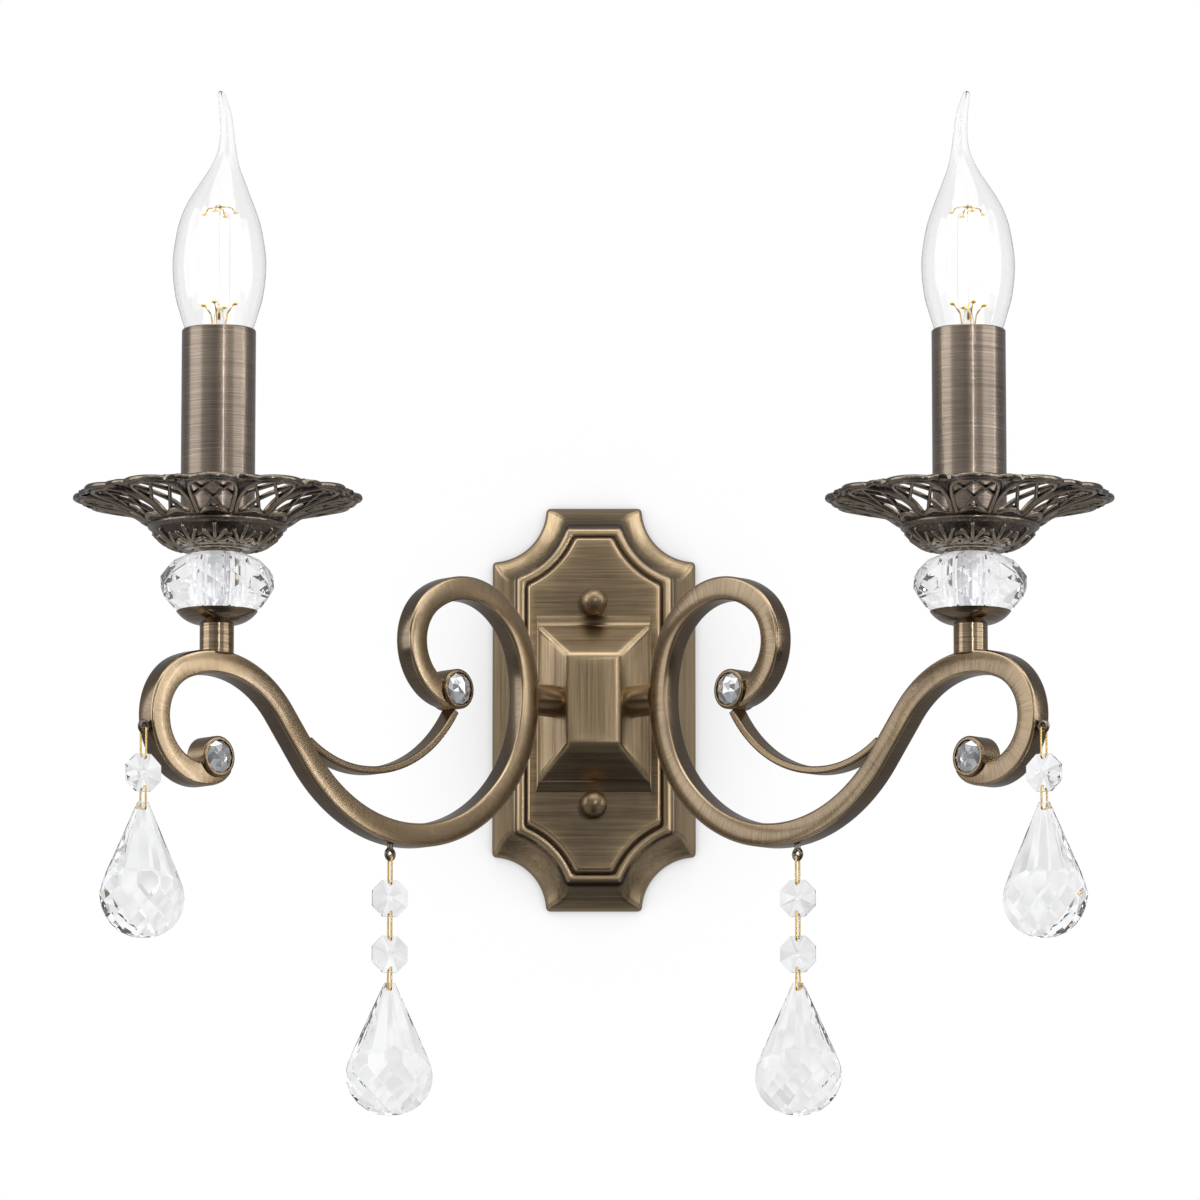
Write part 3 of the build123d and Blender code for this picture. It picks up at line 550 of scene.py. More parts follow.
def plate_wear_and_light(inset, x, z):
    """Wear and painted light at a point of the face: wear by inset, with painted shade and light by region."""
    painted_light_and_shade = 0.0
    if inset > 15 and z < -25:  # lower field, painted shade
        painted_light_and_shade = 0.3
    if 4.0 < inset < 9.8:  # cove, painted shade above and painted light below
        painted_light_and_shade = (0.5 if z > 55 else -0.55 if z < -55 else 0.0) * (inset - 3.0) / 6.0
    if 1.0 < inset < 9.8 and abs(x) < 14 and z < -62:  # lower middle, painted shade
        painted_light_and_shade = 0.35
    if inset < 8 and x > 24 and abs(z) < 55:  # right side, painted light
        painted_light_and_shade -= 0.3
    return curve_at(WEAR_AND_LIGHT_BY_INSET, inset) - painted_light_and_shade


def plate_shell():
    """Face of the pressed plate, its middle, the inner skin and the rim between them."""
    verts, rub = [], []
    for level in LEVELS:
        line = plate_loop(*level)
        verts += line
        rub += [plate_wear_and_light(level[0], x, z) for x, _, z in line]
    width = len(line)
    faces = rows_to_faces(len(LEVELS), width)
    faces.append(tuple(range(len(verts) - width, len(verts))))
    start = len(verts)
    for level in INNER:
        verts += plate_loop(*level)
        rub += [INNER_WEAR] * width
    faces += [tuple(start + i for i in reversed(f)) for f in rows_to_faces(len(INNER), width)]
    faces.append(tuple(reversed(range(len(verts) - width, len(verts)))))
    faces += [(i, start + i, start + (i + 1) % width, (i + 1) % width) for i in range(width)]
    return verts, faces, rub


def brush_pick(verts, face):
    """1 for faces brushed upwards, those that look sideways, and 0 for the rest."""
    a, b, c = (Vector(verts[i]) for i in face[:3])
    n = (b - a).cross(c - b)
    return 1 if abs(n.x) > abs(n.z) * 1.2 and len(face) == 4 else 0


verts, faces, rub = plate_shell()
picks = [brush_pick(verts, f) for f in faces]
plate = make("plate_shell", verts, faces, [M_PLATE, M_PLATE_V], "frame", ["back_plate"], picks=picks, rub=rub)
weld(plate, sharp=38)

# Box on the plate: half width, half height and depth of each level, from its foot to its front.
BOX = (
    (22.7, 35.4, 17.5), (22.55, 34.8, 17.84), (22.15, 32.4, 18.15),
    (21.8, 31.0, 18.75), (21.5, 30.3, 19.5), (10.0, 17.6, 31.0),
)
RIDGE_WEAR, STEP_WEAR, FOOT_WEAR = 0.7, -0.05, -0.3
BORDERS = ((0.9, 0.3), (2.2, 0.08), (3.0, 0.0))  # width of each border inside a flank and its wear and painted highlight
BIG_FACE = 120e-6
bm = bmesh.new()
wear_and_light_layer = bm.verts.layers.float.new("rub")
rings = []
for w, h, d in BOX:
    rings.append([bm.verts.new(Vector((x * w, -d, z * h)) * MM) for x, z in CORNERS])
for low, high in zip(rings, rings[1:]):
    for i in range(4):
        bm.faces.new((low[i], low[(i + 1) % 4], high[(i + 1) % 4], high[i]))
bm.faces.new(rings[-1])
bmesh.ops.recalc_face_normals(bm, faces=bm.faces)
ridges = []
for e in bm.edges:
    depths = [-v.co.y / MM for v in e.verts]
    if min(depths) > 19.4 and max(depths) > 30.0:
        ridges.append(e)
bmesh.ops.bevel(bm, geom=ridges, offset=1.3 * MM, segments=4, profile=0.5, affect="EDGES", clamp_overlap=True)
for v in bm.verts:
    depth = -v.co.y / MM
    v[wear_and_light_layer] = RIDGE_WEAR if depth > 20.5 else STEP_WEAR if depth > 17.9 else FOOT_WEAR
big = [f for f in bm.faces if f.calc_area() > BIG_FACE]
for border, wear_with_light in BORDERS:
    before = set(bm.verts)
    bmesh.ops.inset_individual(bm, faces=big, thickness=border * MM, use_even_offset=True)
    for v in bm.verts:
        if v not in before:
            x, depth, z = v.co.x / MM, -v.co.y / MM, v.co.z / MM
            # Painted light: the right flank lighter, the left flank darker and the lower part of the front lighter.
            painted_flank_light = 0.3 if x > 10.5 else -0.15 if x < -10.5 else 0.0
            low = 0.2 if z < -8 and depth > 30.5 else 0.0
            v[wear_and_light_layer] = STEP_WEAR if depth < 22.5 else wear_with_light + low + painted_flank_light
for f in bm.faces:
    front = f.normal.y < -0.97 and -f.calc_center_median().y / MM > 30.0
    f.material_index = 1 if abs(f.normal.x) >= abs(f.normal.z) or front else 0
    f.smooth = True
mesh = bpy.data.meshes.new("plate_box")
mesh.materials.append(M_PLATE)
mesh.materials.append(M_PLATE_V)
bm.to_mesh(mesh)
bm.free()
box = placed("plate_box", mesh)
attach(box, "frame")
weld(box, sharp=30)

# ------------------------------ arms
ARM_PATH = bends(
    (55.8, -3.7), 0,
    [
        (20.2, 143.5), (32.0, 108.5), (55.5, 61.0), (67.5, 97.5), (21.0,), (44.0, -71.5),
        (20.7, -180.0), (7.5, -36.0),
    ],
)
BAR_WIDTH, BAR_DEPTH = 9.2, 8.6
PROFILE = rounded_box_profile(BAR_WIDTH, BAR_DEPTH, 1.15)
FLAT_PAINTED_LIGHT = {"right": -0.22, "left": 0.3}  # painted light: the left arm's flats lighter than the right's


def arm_wear_and_light(flat):
    """Wear and painted light round the bar's section: sides darker as painted shade, the flats in the given painted
    tone, and corners lighter as rubbed wear and painted highlight.
    """
    ring = []
    for p, q in PROFILE:
        if abs(p) > BAR_WIDTH / 2 - 0.05:
            ring.append(-0.45)
        else:
            ring.append(flat if abs(q) > BAR_DEPTH / 2 - 0.05 else 1.0)
    return ring * len(ARM_PATH)


arm_verts, arm_faces, arm_uvs = sweep(ARM_PATH, PROFILE)
arm_verts = [arm_point(*v) for v in arm_verts]
for side, sign in SIDES:
    arm = make(
        side + "_arm_bar", to_side(arm_verts, sign), arm_faces, M_ARM, "frame",
        [side + "_arm_tube"], uvs=arm_uvs, rub=arm_wear_and_light(FLAT_PAINTED_LIGHT[side]),
    )
    weld(arm, sharp=50)

# ------------------------------ drip pans
# Radius and height of the petals, and radius and half width of a petal's window.
FLARE = [(26.0, 48.4), (26.9, 49.6), (29.6, 52.0), (32.6, 54.0), (38.0, 56.1), (43.6, 57.6), (50.0, 58.8), (56.0, 59.6)]
WINDOW = [(27.6, 5.4), (31.0, 6.5), (36.0, 7.4), (41.5, 7.8), (46.0, 7.1), (49.0, 4.9), (50.4, 0.0)]
PETALS = 12
STEP = 2 * pi / PETALS
FOOT_R, RIM_R = 25.8, 51.2
LOBES = ((40.5, 14.1, 0.0), (44.6, 8.8, STEP / 2))  # centre, radius and turn of the rim's lobes
FOOT_STEPS, FLANK_STEPS, CREST_STEPS = 8, 18, 14  # steps along a half sector's foot, side and rim


def on_pan(x, y, out):
    """Plan point on the pan's flare, pushed out of its lower face by out."""
    r = hypot(x, y)
    slope = (curve_at(FLARE, r + 0.2) - curve_at(FLARE, r - 0.2)) / 0.4
    a = atan2(slope, 1)
    r2 = r + out * sin(a)
    return (x / r * r2, y / r * r2, curve_at(FLARE, r) - out * cos(a))


def window_half():
    """Right half of a petal's window, from the tongue's tip round to the top."""
    points = []
    for i in range(FOOT_STEPS):
        t = i / FOOT_STEPS
        points.append((30.0 - 2.4 * t**2, 5.4 * t))
    radii = [(k / (len(WINDOW) - 1), r) for k, (r, _) in enumerate(WINDOW)]
    widths = [(k / (len(WINDOW) - 1), w) for k, (_, w) in enumerate(WINDOW)]
    steps = FLANK_STEPS + CREST_STEPS
    for i in range(steps + 1):
        points.append((curve_at(radii, i / steps), max(0.0, curve_at(widths, i / steps))))
    return points


def rim_at(angle):
    """Rim radius at an angle from a petal's middle."""
    best = RIM_R
    for centre, reach, turn in LOBES:
        b = centre * cos(angle - turn)
        gap = reach**2 - (centre * sin(angle - turn)) ** 2
        if gap > 0:
            best = max(best, b + sqrt(gap))
    return best


def edge_half():
    """Edge of half a petal's sector, one point for each window point."""
    half = STEP / 2
    polar = [(FOOT_R, half * i / FOOT_STEPS) for i in range(FOOT_STEPS)]
    for i in range(FLANK_STEPS + 1):
        polar.append((FOOT_R + (rim_at(half) - FOOT_R) * (i / FLANK_STEPS), half))
    for i in range(1, CREST_STEPS + 1):
        a = half * (1 - i / CREST_STEPS)
        polar.append((rim_at(a), a))
    return [(r * cos(a), r * sin(a)) for r, a in polar]


def both_halves(half):
    """A closed line from its right half."""
    return half + [(x, -y) for x, y in reversed(half[1:-1])]


WIN = both_halves(window_half())
EDGE = both_halves(edge_half())
RIM_START = FOOT_STEPS + FLANK_STEPS
RIM_STEPS = set(range(RIM_START, len(EDGE) - RIM_START + 1))
RIM_LINE = []
for i in range(41):
    a = STEP * (i / 40 - 0.5)
    RIM_LINE.append((rim_at(a) * cos(a), rim_at(a) * sin(a)))


def nearest(x, y, line):
    """Distance to the nearest point of a line of points."""
    best = 1e9
    for (x0, y0), (x1, y1) in zip(line, line[1:]):
        dx, dy = x1 - x0, y1 - y0
        t = max(0.0, min(1.0, ((x - x0) * dx + (y - y0) * dy) / (dx * dx + dy * dy + 1e-12)))
        best = min(best, hypot(x - x0 - t * dx, y - y0 - t * dy))
    return best


def dome(d, width):
    """Half round bead cross section over 0..width."""
    if d <= 0 or d >= width:
        return 0.0
    return sqrt(max(0.0, 1 - (2 * d / width - 1) ** 2))


def petal_sheet():
    """One petal's rib, web and rim round its window, both faces, in plan order."""
    across = 15
    width = across + 1
    lower, upper, worn_and_lit = [], [], []
    closed_win = WIN + [WIN[0]]
    for (wx, wy), (ex, ey) in zip(WIN, EDGE):
        for k in range(width):
            t = (k / across) ** 1.25
            x, y = wx + (ex - wx) * t, wy + (ey - wy) * t
            d_win = nearest(x, y, closed_win)
            d_rim = nearest(x, y, RIM_LINE)
            foot = max(0.0, min(1.0, (hypot(x, y) - 26.2) / 2.2))
            rib = dome(d_win + 0.12, 2.1) * foot
            rim = 0.8 * dome(d_rim + 0.1, 1.9) if d_rim < 1.9 else 0.0
            raised = max(rib, rim)
            lower.append(on_pan(x, y, 1.35 * raised - 0.75))
            # Rib and rim crests lighter as rubbed wear and painted highlight, the web between them darker.
            worn_and_lit.append(1.3 * raised**3 if raised > 0.05 else -0.65)
            edge = 0.35 if min(d_win, d_rim) < 0.05 else 0
            upper.append(on_pan(x, y, -1.5 - 0.35 * max(dome(d_win, 2.0), dome(d_rim, 1.6)) + edge))
    base = len(lower)
    faces = []
    for i in range(len(WIN)):
        j = (i + 1) % len(WIN)
        a, b = i * width, j * width
        for k in range(across):
            faces.append((a + k, b + k, b + k + 1, a + k + 1))
            faces.append((base + a + k, base + a + k + 1, base + b + k + 1, base + b + k))
        faces.append((a, base + a, base + b, b))
        if i in RIM_STEPS and j in RIM_STEPS:
            faces.append((a + across, b + across, base + b + across, base + a + across))
    return lower + upper, faces, worn_and_lit + [0.3] * len(upper)


def inside_window(x, y):
    """Whether a plan point lies in the window."""
    odd = False
    for (x0, y0), (x1, y1) in zip(WIN, WIN[1:] + WIN[:1]):
        if (y0 > y) != (y1 > y) and x < (x1 - x0) * (y - y0) / (y1 - y0) + x0:
            odd = not odd
    return odd


LATTICE_AT, LATTICE_LEAN = (33.2, 46.4), 0.63
LATTICE_SECTION = [(0.66, -0.55), (0.5, -0.12), (0.2, 0.06), (-0.2, 0.06), (-0.5, -0.12)]
LATTICE_SECTION += [(-0.66, -0.55), (-0.6, -1.6), (0.6, -1.6)]


def lattice_bars():
    """Crossing bars of one window, rounded, a little behind the ribs."""
    verts, faces, worn_and_lit = [], [], []
    for cross in LATTICE_AT:
        for lean in (LATTICE_LEAN, -LATTICE_LEAN):
            length = hypot(1, lean)
            ux, uy = 1 / length, lean / length
            inside = [t / 10 for t in range(-160, 200) if inside_window(cross + ux * t / 10, uy * t / 10)]
            t0, t1 = inside[0] - 0.7, inside[-1] + 0.7
            steps = max(4, int((t1 - t0) / 0.9))
            faces += shifted(capped(steps + 1, len(LATTICE_SECTION)), len(verts))
            for i in range(steps + 1):
                t = t0 + (t1 - t0) * i / steps
                for off, out in LATTICE_SECTION:
                    verts.append(on_pan(cross + ux * t - uy * off, uy * t + ux * off, out))
                    # Outer faces of the bars lighter as rubbed wear and painted highlight, inner faces darker.
                    worn_and_lit.append(0.5 if out > -0.3 else -0.3)
    return verts, faces, worn_and_lit


COLLAR = [(4.0, 38.6), (9.6, 38.6), (10.1, 38.75), (10.35, 39.2), (10.6, 39.7), (12.6, 39.75)]
BOWL = [(13.0, 39.9), (16.6, 41.0), (19.7, 42.5), (22.4, 44.6), (24.6, 46.9), (25.4, 47.9)]
BELT = [(25.9, 48.15), (26.2, 48.5), (26.3, 49.0), (26.2, 49.6), (26.0, 50.1), (25.7, 50.9), (25.0, 50.9)]
HOLLOW = [(24.6, 49.8), (22.6, 47.2), (20.4, 44.8), (18.0, 42.9), (15.6, 41.8), (4.0, 41.8)]
BOWL_ROWS = 50
PETAL_POINTS = 44


def knob(d, radius, height=1.0):
    """Height of a round knob at a distance from its middle."""
    return height * sqrt(1 - (d / radius) ** 2) if d < radius else 0.0


def leaf_relief(w, s):
    """Raised palmette of one leaf: w across from its middle, s up the bowl, both in mm."""
    best = 0.0
    for k in range(-2, 3):
        length = 9.6 - 1.3 * abs(k)
        for i in range(9):
            t = 0.22 + 0.78 * i / 8
            bend = 0.40 * k * (1.0 + 0.30 * t)
            px, py = length * t * sin(bend), 3.3 + length * t * cos(bend)
            best = max(best, knob(hypot(w - px, s - py), 1.05 - 0.55 * abs(t - 0.6)))
    for px in (-4.9, 4.9):
        best = max(best, knob(abs(hypot(w - px, s - 4.6) - 1.15), 0.42, 0.8))
    return max(best, knob(hypot(w, s - 3.2), 0.9, 0.9))


def bowl_shell():
    """Bowl under the petals: collar, leaves, belt and the inside."""
    rows = [(r, z, None) for r, z in COLLAR]
    run = 0.0
    for i in range(BOWL_ROWS + 1):
        r = BOWL[0][0] + (BOWL[-1][0] - BOWL[0][0]) * i / BOWL_ROWS
        z = curve_at(BOWL, r)
        if i:
            run += hypot(r - rows[-1][0], z - rows[-1][1])
        rows.append((r, z, run))
    rows += [(r, z, None) for r, z in BELT + HOLLOW]
    count = PETALS * PETAL_POINTS
    verts, worn_and_lit = [], []
    for r, z, s in rows:
        for i in range(count):
            a = STEP * (i / PETAL_POINTS - 0.5)
            lift, wear_with_light = 0.0, 0.25
            if s is not None and 0.3 < s < 14.6:
                relief = leaf_relief(r * STEP * ((i % PETAL_POINTS) / PETAL_POINTS - 0.5), s)
                # Raised leaves lighter as rubbed wear and painted highlight.
                wear_with_light = 1.3 * relief**2 - 0.2
                lift = (1.1 * relief - 0.3) * min(1.0, (s - 0.3) / 0.5)
            if 9.5 < r < 10.4 and z < 39.5:
                lift = 0.18 * cos(12 * a)
            verts.append(((r + 0.75 * lift) * cos(a), (r + 0.75 * lift) * sin(a), z - 0.66 * lift))
            worn_and_lit.append(wear_with_light)
    return verts, rows_to_faces(len(rows), count) + join_ends(len(rows), count), worn_and_lit


pan_verts, pan_faces, pan_wear_and_light = bowl_shell()
for piece_verts, piece_faces, piece_wear_and_light in (petal_sheet(), lattice_bars()):
    for k in range(PETALS):
        ca, sa = cos(STEP * k), sin(STEP * k)
        pan_faces += shifted(piece_faces, len(pan_verts))
        pan_verts += [(x * ca - y * sa, x * sa + y * ca, z) for x, y, z in piece_verts]
        pan_wear_and_light += piece_wear_and_light
for side, sign in SIDES:
    pan = make(
        side + "_drip_pan", to_side(pan_verts, sign, STEM), pan_faces, M_BRONZE, "frame",
        [side + "_bobeche"], rub=pan_wear_and_light,
    )
    weld(pan, distance=0.004, sharp=55)

# ------------------------------ glass beads
BEAD = [(10.6, 38.5), (16.2, 36.2), (19.6, 33.2), (21.4, 29.8), (21.5, 26.1), (20.0, 22.1), (16.6, 18.6), (10.4, 15.5)]
BEAD_SIDES = 11
BORE = ((38.5, 7.2), (37.0, 7.6), (17.0, 7.6), (15.5, 7.2))
FLUTES = 44


def cut_bead():
    """Bead of triangular facets with a fluted bore."""
    n = BEAD_SIDES
    verts, faces = [], []
    for k, (r, z) in enumerate(BEAD):
        for i in range(n):
            a = 2 * pi * (i + 0.5 * (k % 2)) / n - pi / 2
            verts.append((r * cos(a), r * sin(a), z))
    for k in range(len(BEAD) - 1):
        lo, hi = k * n, (k + 1) * n
        for i in range(n):
            j = (i + 1) % n
            if k % 2 == 0:
                faces += [(lo + i, hi + i, lo + j), (lo + j, hi + i, hi + j)]
            else:
                faces += [(lo + i, hi + j, lo + j), (lo + i, hi + i, hi + j)]
    base = len(verts)
    for z, r in BORE:
        for i in range(FLUTES):
            a = 2 * pi * i / FLUTES
            flute = r + 0.3 * (i % 2)
            verts.append((flute * cos(a), flute * sin(a), z))
    faces += shifted(rows_to_faces(len(BORE), FLUTES), base)
    ratio = FLUTES // n
    for top, inner, shift in ((0, base, 0), (base - n, len(verts) - FLUTES, ratio // 2)):
        for i in range(n):
            for m in range(ratio):
                turn = i * ratio + m + shift - FLUTES // 4
                p, q = inner + turn % FLUTES, inner + (turn + 1) % FLUTES
                faces.append((top + i, p, q))
            faces.append((top + i, q, top + (i + 1) % n))
    return verts, faces


bead_verts, bead_faces = cut_bead()
for side, sign in SIDES:
    bead = make(
        side + "_cut_bead", to_side(bead_verts, sign, STEM), bead_faces, M_BEAD, "frame",
        [side + "_glass_bead"], smooth=False,
    )
    weld(bead, distance=0.001)

# ------------------------------ crystal drops
# Half width of a drop by distance from its top.
PEAR = [(1.9, 0.0), (13.9, 25.6), (16.2, 31.0), (17.1, 35.4), (16.6, 39.4), (15.0, 43.0)]
PEAR += [(12.2, 46.3), (8.6, 48.7), (4.4, 50.2), (0.0, 50.55)]
# Each strand's name, hook, turn and height of its drop's top.
STRANDS = (("inner", (87.2, -67.5, 0.0), 17.0, -116.8), ("outer", (215.1, -30.4, 1.6), 28.0, -58.7))


def drop_planes():
    """Facet planes of a pear shaped drop: x across, y up from its top, z to the front."""
    planes = []
    for (x0, d0), (x1, d1) in zip(PEAR, PEAR[1:]):
        nx, nd = d1 - d0, -(x1 - x0)
        for sx in (1, -1):
            planes.append(((sx * x0, -d0, 0), (sx * nx, -nd, 0)))
            for sz in (1, -1):
                lift = hypot(nx, nd) * 0.75
                planes.append(((sx * x0, -d0, sz * 0.8), (sx * nx, -nd, sz * lift)))
    planes.append(((0, 0, 0), (0, 1, 0)))
    top, kx, kd, d0 = 6.2, 0.0185, 0.0135, 31.0
    for sz, shift in ((1, 0), (-1, 1)):
        for i in range(-5, 6):
            for j in range(-1, 6):
                if (i + j + shift) % 2:
                    continue
                x, d = i * 3.5, d0 + j * 4.1
                z = top - kx * x * x - kd * (d - d0) ** 2
                if z < -0.5 or d < d0 - 2:
                    continue
                planes.append(((x, -d, sz * z), (2 * kx * x, -2 * kd * (d - d0), sz)))
        for x in (-8.4, -5.4, -1.9, 1.9, 5.4, 8.4):
            z = 4.9 - 3.4 * (x / 10.3) ** 2
            nx = 2 * 3.4 * x / 106
            slope = (z - 0.9 + nx * x) / 22.0
            planes.append(((x, -18.0, sz * z), (nx, slope, sz)))
    return [(Vector(p), Vector(n).normalized()) for p, n in planes]


drop_verts, drop_faces = cut_solid(drop_planes(), 140.0)
for side, sign in SIDES:
    for strand, eye, yaw, top in STRANDS:
        ox, oy, _ = arm_point(*eye)
        c, s = cos(radians(yaw)), sin(radians(yaw))
        points = [(ox + x * c - z * s, oy - x * s - z * c, top + y) for x, y, z in drop_verts]
        drop = make(
            side + "_" + strand + "_pendant", to_side(points, sign), drop_faces, M_CRYSTAL,
            side + "_" + strand + "_drop", [side + "_" + strand + "_drop"], smooth=False,
        )
        weld(drop, distance=0.001)

# ------------------------------ scroll stones
CUPS_AT = ((55.8, -1.1), (180.4, -38.8))
# Radius, height and shift of each ring of a stone, which is uneven above its girdle.
STONE = ((6.15, 2.8, 0), (6.15, 5.5, 0), (4.6, 6.8, 0.5), (2.3, 7.6, 0))
GIRDLE = 5.6
STONE_SIDES = 10
gem_verts, gem_faces = [], []
for cu, cv in CUPS_AT:
    base = len(gem_verts)
    for r, h, shift in STONE:
        for i in range(STONE_SIDES):
            a = 2 * pi * (i + shift) / STONE_SIDES
            uneven = random.uniform(-0.9, 0.3) if h > GIRDLE else 0
            gem_verts.append(arm_point(cu + r * cos(a), cv + r * sin(a), h + uneven))
    for k in range(len(STONE) - 1):
        lo, hi = base + k * STONE_SIDES, base + (k + 1) * STONE_SIDES
        for i in range(STONE_SIDES):
            j = (i + 1) % STONE_SIDES
            if k == 0:
                gem_faces.append((lo + i, lo + j, hi + j, hi + i))
            elif k == 1:
                gem_faces += [(lo + i, lo + j, hi + i), (lo + j, hi + j, hi + i)]
            else:
                gem_faces += [(lo + i, lo + j, hi + j), (lo + i, hi + j, hi + i)]
    gem_faces.append(tuple(reversed(range(base, base + STONE_SIDES))))
    gem_faces.append(tuple(range(len(gem_verts) - STONE_SIDES, len(gem_verts))))
stones = make(
    "scroll_stones", to_side(gem_verts, 1) + to_side(gem_verts, -1),
    gem_faces + shifted(gem_faces, len(gem_verts)), M_GEM,
    "frame", ["scroll_gems"], smooth=False,
)
weld(stones, 0.001)

# ------------------------------ bulbs
# Height, radius and lean of the glass.
GLASS = [
    (113.0, 8.0, 0.0), (118.0, 10.6, 0.0), (124.2, 12.75, 0.0), (130.0, 14.6, 0.0), (138.0, 16.7, 0.0),
    (149.5, 17.7, 0.0), (159.4, 16.6, 0.0), (166.5, 15.0, 0.0), (173.2, 12.4, 0.2), (180.0, 9.0, 1.0),
    (186.8, 5.6, 1.9), (193.5, 3.5, 2.6), (200.2, 2.7, 2.6), (207.2, 2.3, 2.0), (214.0, 1.6, 0.6),
]
GLASS_ROWS, GLASS_SIDES = 84, 64
BULB_STEM = [(0.1, 133.0), (1.2, 132.4), (1.7, 130.5), (2.3, 126.0), (3.6, 119.0), (4.6, 114.0), (0.1, 114.0)]
STICK_R, STICK_TURN = 6.3, 15
# Wires at each stick's ends: share of its distance from the middle, and height.
LEADS = (
    ((1, 168.0), (0.75, 171.0)), ((0.75, 171.0), (0, 171.6)),
    ((1, 134.8), (0.5, 130.5)), ((0.5, 130.5), (0.25, 120.0)),
)


def bulb_shell():
    """Glass of the bulb with its bent tip, outside and inside."""
    radii = [(z, r) for z, r, _ in GLASS]
    leans = [(z, lean) for z, _, lean in GLASS]
    foot, top = GLASS[0][0], GLASS[-1][0]
    heights = [foot + (top - foot) * i / GLASS_ROWS for i in range(GLASS_ROWS + 1)]
    rows = [(z, curve_at(radii, z)) for z in heights]
    rows += [(214.9, 1.5), (215.7, 1.15), (216.3, 0.6), (216.5, 0.12)]
    rows += [(209.0, 0.1), (208.0, 0.4), (206.5, 0.7)]
    rows += [(z, curve_at(radii, z) - 1.0 - 0.02 * max(0.0, z - 180.0)) for z in reversed(heights) if z < 205.5]
    verts = []
    for z, r in rows:
        lean = curve_at(leans, z) if z < top else 0.6 - 0.25 * (z - top)
        for i in range(GLASS_SIDES):
            a = 2 * pi * i / GLASS_SIDES
            verts.append((r * cos(a) - lean, r * sin(a), z))
    return verts, rows_to_faces(len(rows), GLASS_SIDES) + join_ends(len(rows), GLASS_SIDES)


def rod(shape, start, end, radius, sides=12, rounded=True):
    """Add a straight round rod with domed ends between two points to (points, faces)."""
    verts, faces = shape
    a, b = Vector(start), Vector(end)
    length = (b - a).length
    axis = (b - a).normalized()
    side_v = axis.orthogonal().normalized()
    up = axis.cross(side_v)
    rows = [(0.0, 0.15), (0.1, 0.6), (0.35, 0.9), (radius if rounded else 0.5, 1.0)]
    stations = [(min(d, length / 2), f) for d, f in rows]
    stations += [(length - d, f) for d, f in reversed(stations)]
    faces += shifted(capped(len(stations), sides), len(verts))
    for d, f in stations:
        for i in range(sides):
            ang = 2 * pi * i / sides
            verts.append(tuple(a + axis * d + (side_v * cos(ang) + up * sin(ang)) * radius * f))


sticks, wires = ([], []), ([], [])
for k in range(4):
    a = radians(STICK_TURN + 90 * k)
    x, y = STICK_R * cos(a), STICK_R * sin(a)
    rod(sticks, (x, y, 134.6), (x, y, 168.2), 1.55)
    for low, high in ((167.6, 169.3), (133.5, 135.2)):
        rod(wires, (x, y, low), (x, y, high), 1.0, 10, False)
    for (s0, z0), (s1, z1) in LEADS:
        rod(wires, (x * s0, y * s0, z0), (x * s1, y * s1, z1), 0.28, 8)
rod(wires, (0, 0, 128.0), (0, 0, 134.5), 0.35, 8)
rod(wires, (0, 0, 168.5), (0, 0, 172.5), 0.3, 8)
BULB_PIECES = (
    ("_lit_sticks", sticks, M_FILAMENT, "_bulb_filament", "filament"),
    ("_stick_wires", wires, M_GOLD, "", "gold_wire"),
    ("_glass_stem", lathe(BULB_STEM, 32), M_BULB, "", "bulb_glass"),
    ("_bulb_shell", bulb_shell(), M_BULB, "_bulb_glass", "bulb_glass"),
)
for side, sign in SIDES:
    for name, (verts, faces), look, stands_for, slot in BULB_PIECES:
        piece = make(
            side + name, to_side(verts, sign, STEM), faces, look, side + "_bulb",
            [side + stands_for] if stands_for else (),
        )
        weld(piece, 0.001)


# ------------------------------ wall, floor, light
def sheet_mesh(name, corners):
    """A flat four-cornered sheet."""
    mesh = bpy.data.meshes.new(name)
    mesh.from_pydata(corners, [], [(0, 1, 2, 3)])
    obj = placed(name, mesh)
    return obj


def mix_shader(tree, factor, a, b):
    """Mix of two shaders."""
    m = node(tree, "MixShader")
    for socket, value in zip(m.inputs, (factor, a, b)):
        tree.links.new(value, socket)
    return m.outputs[0]


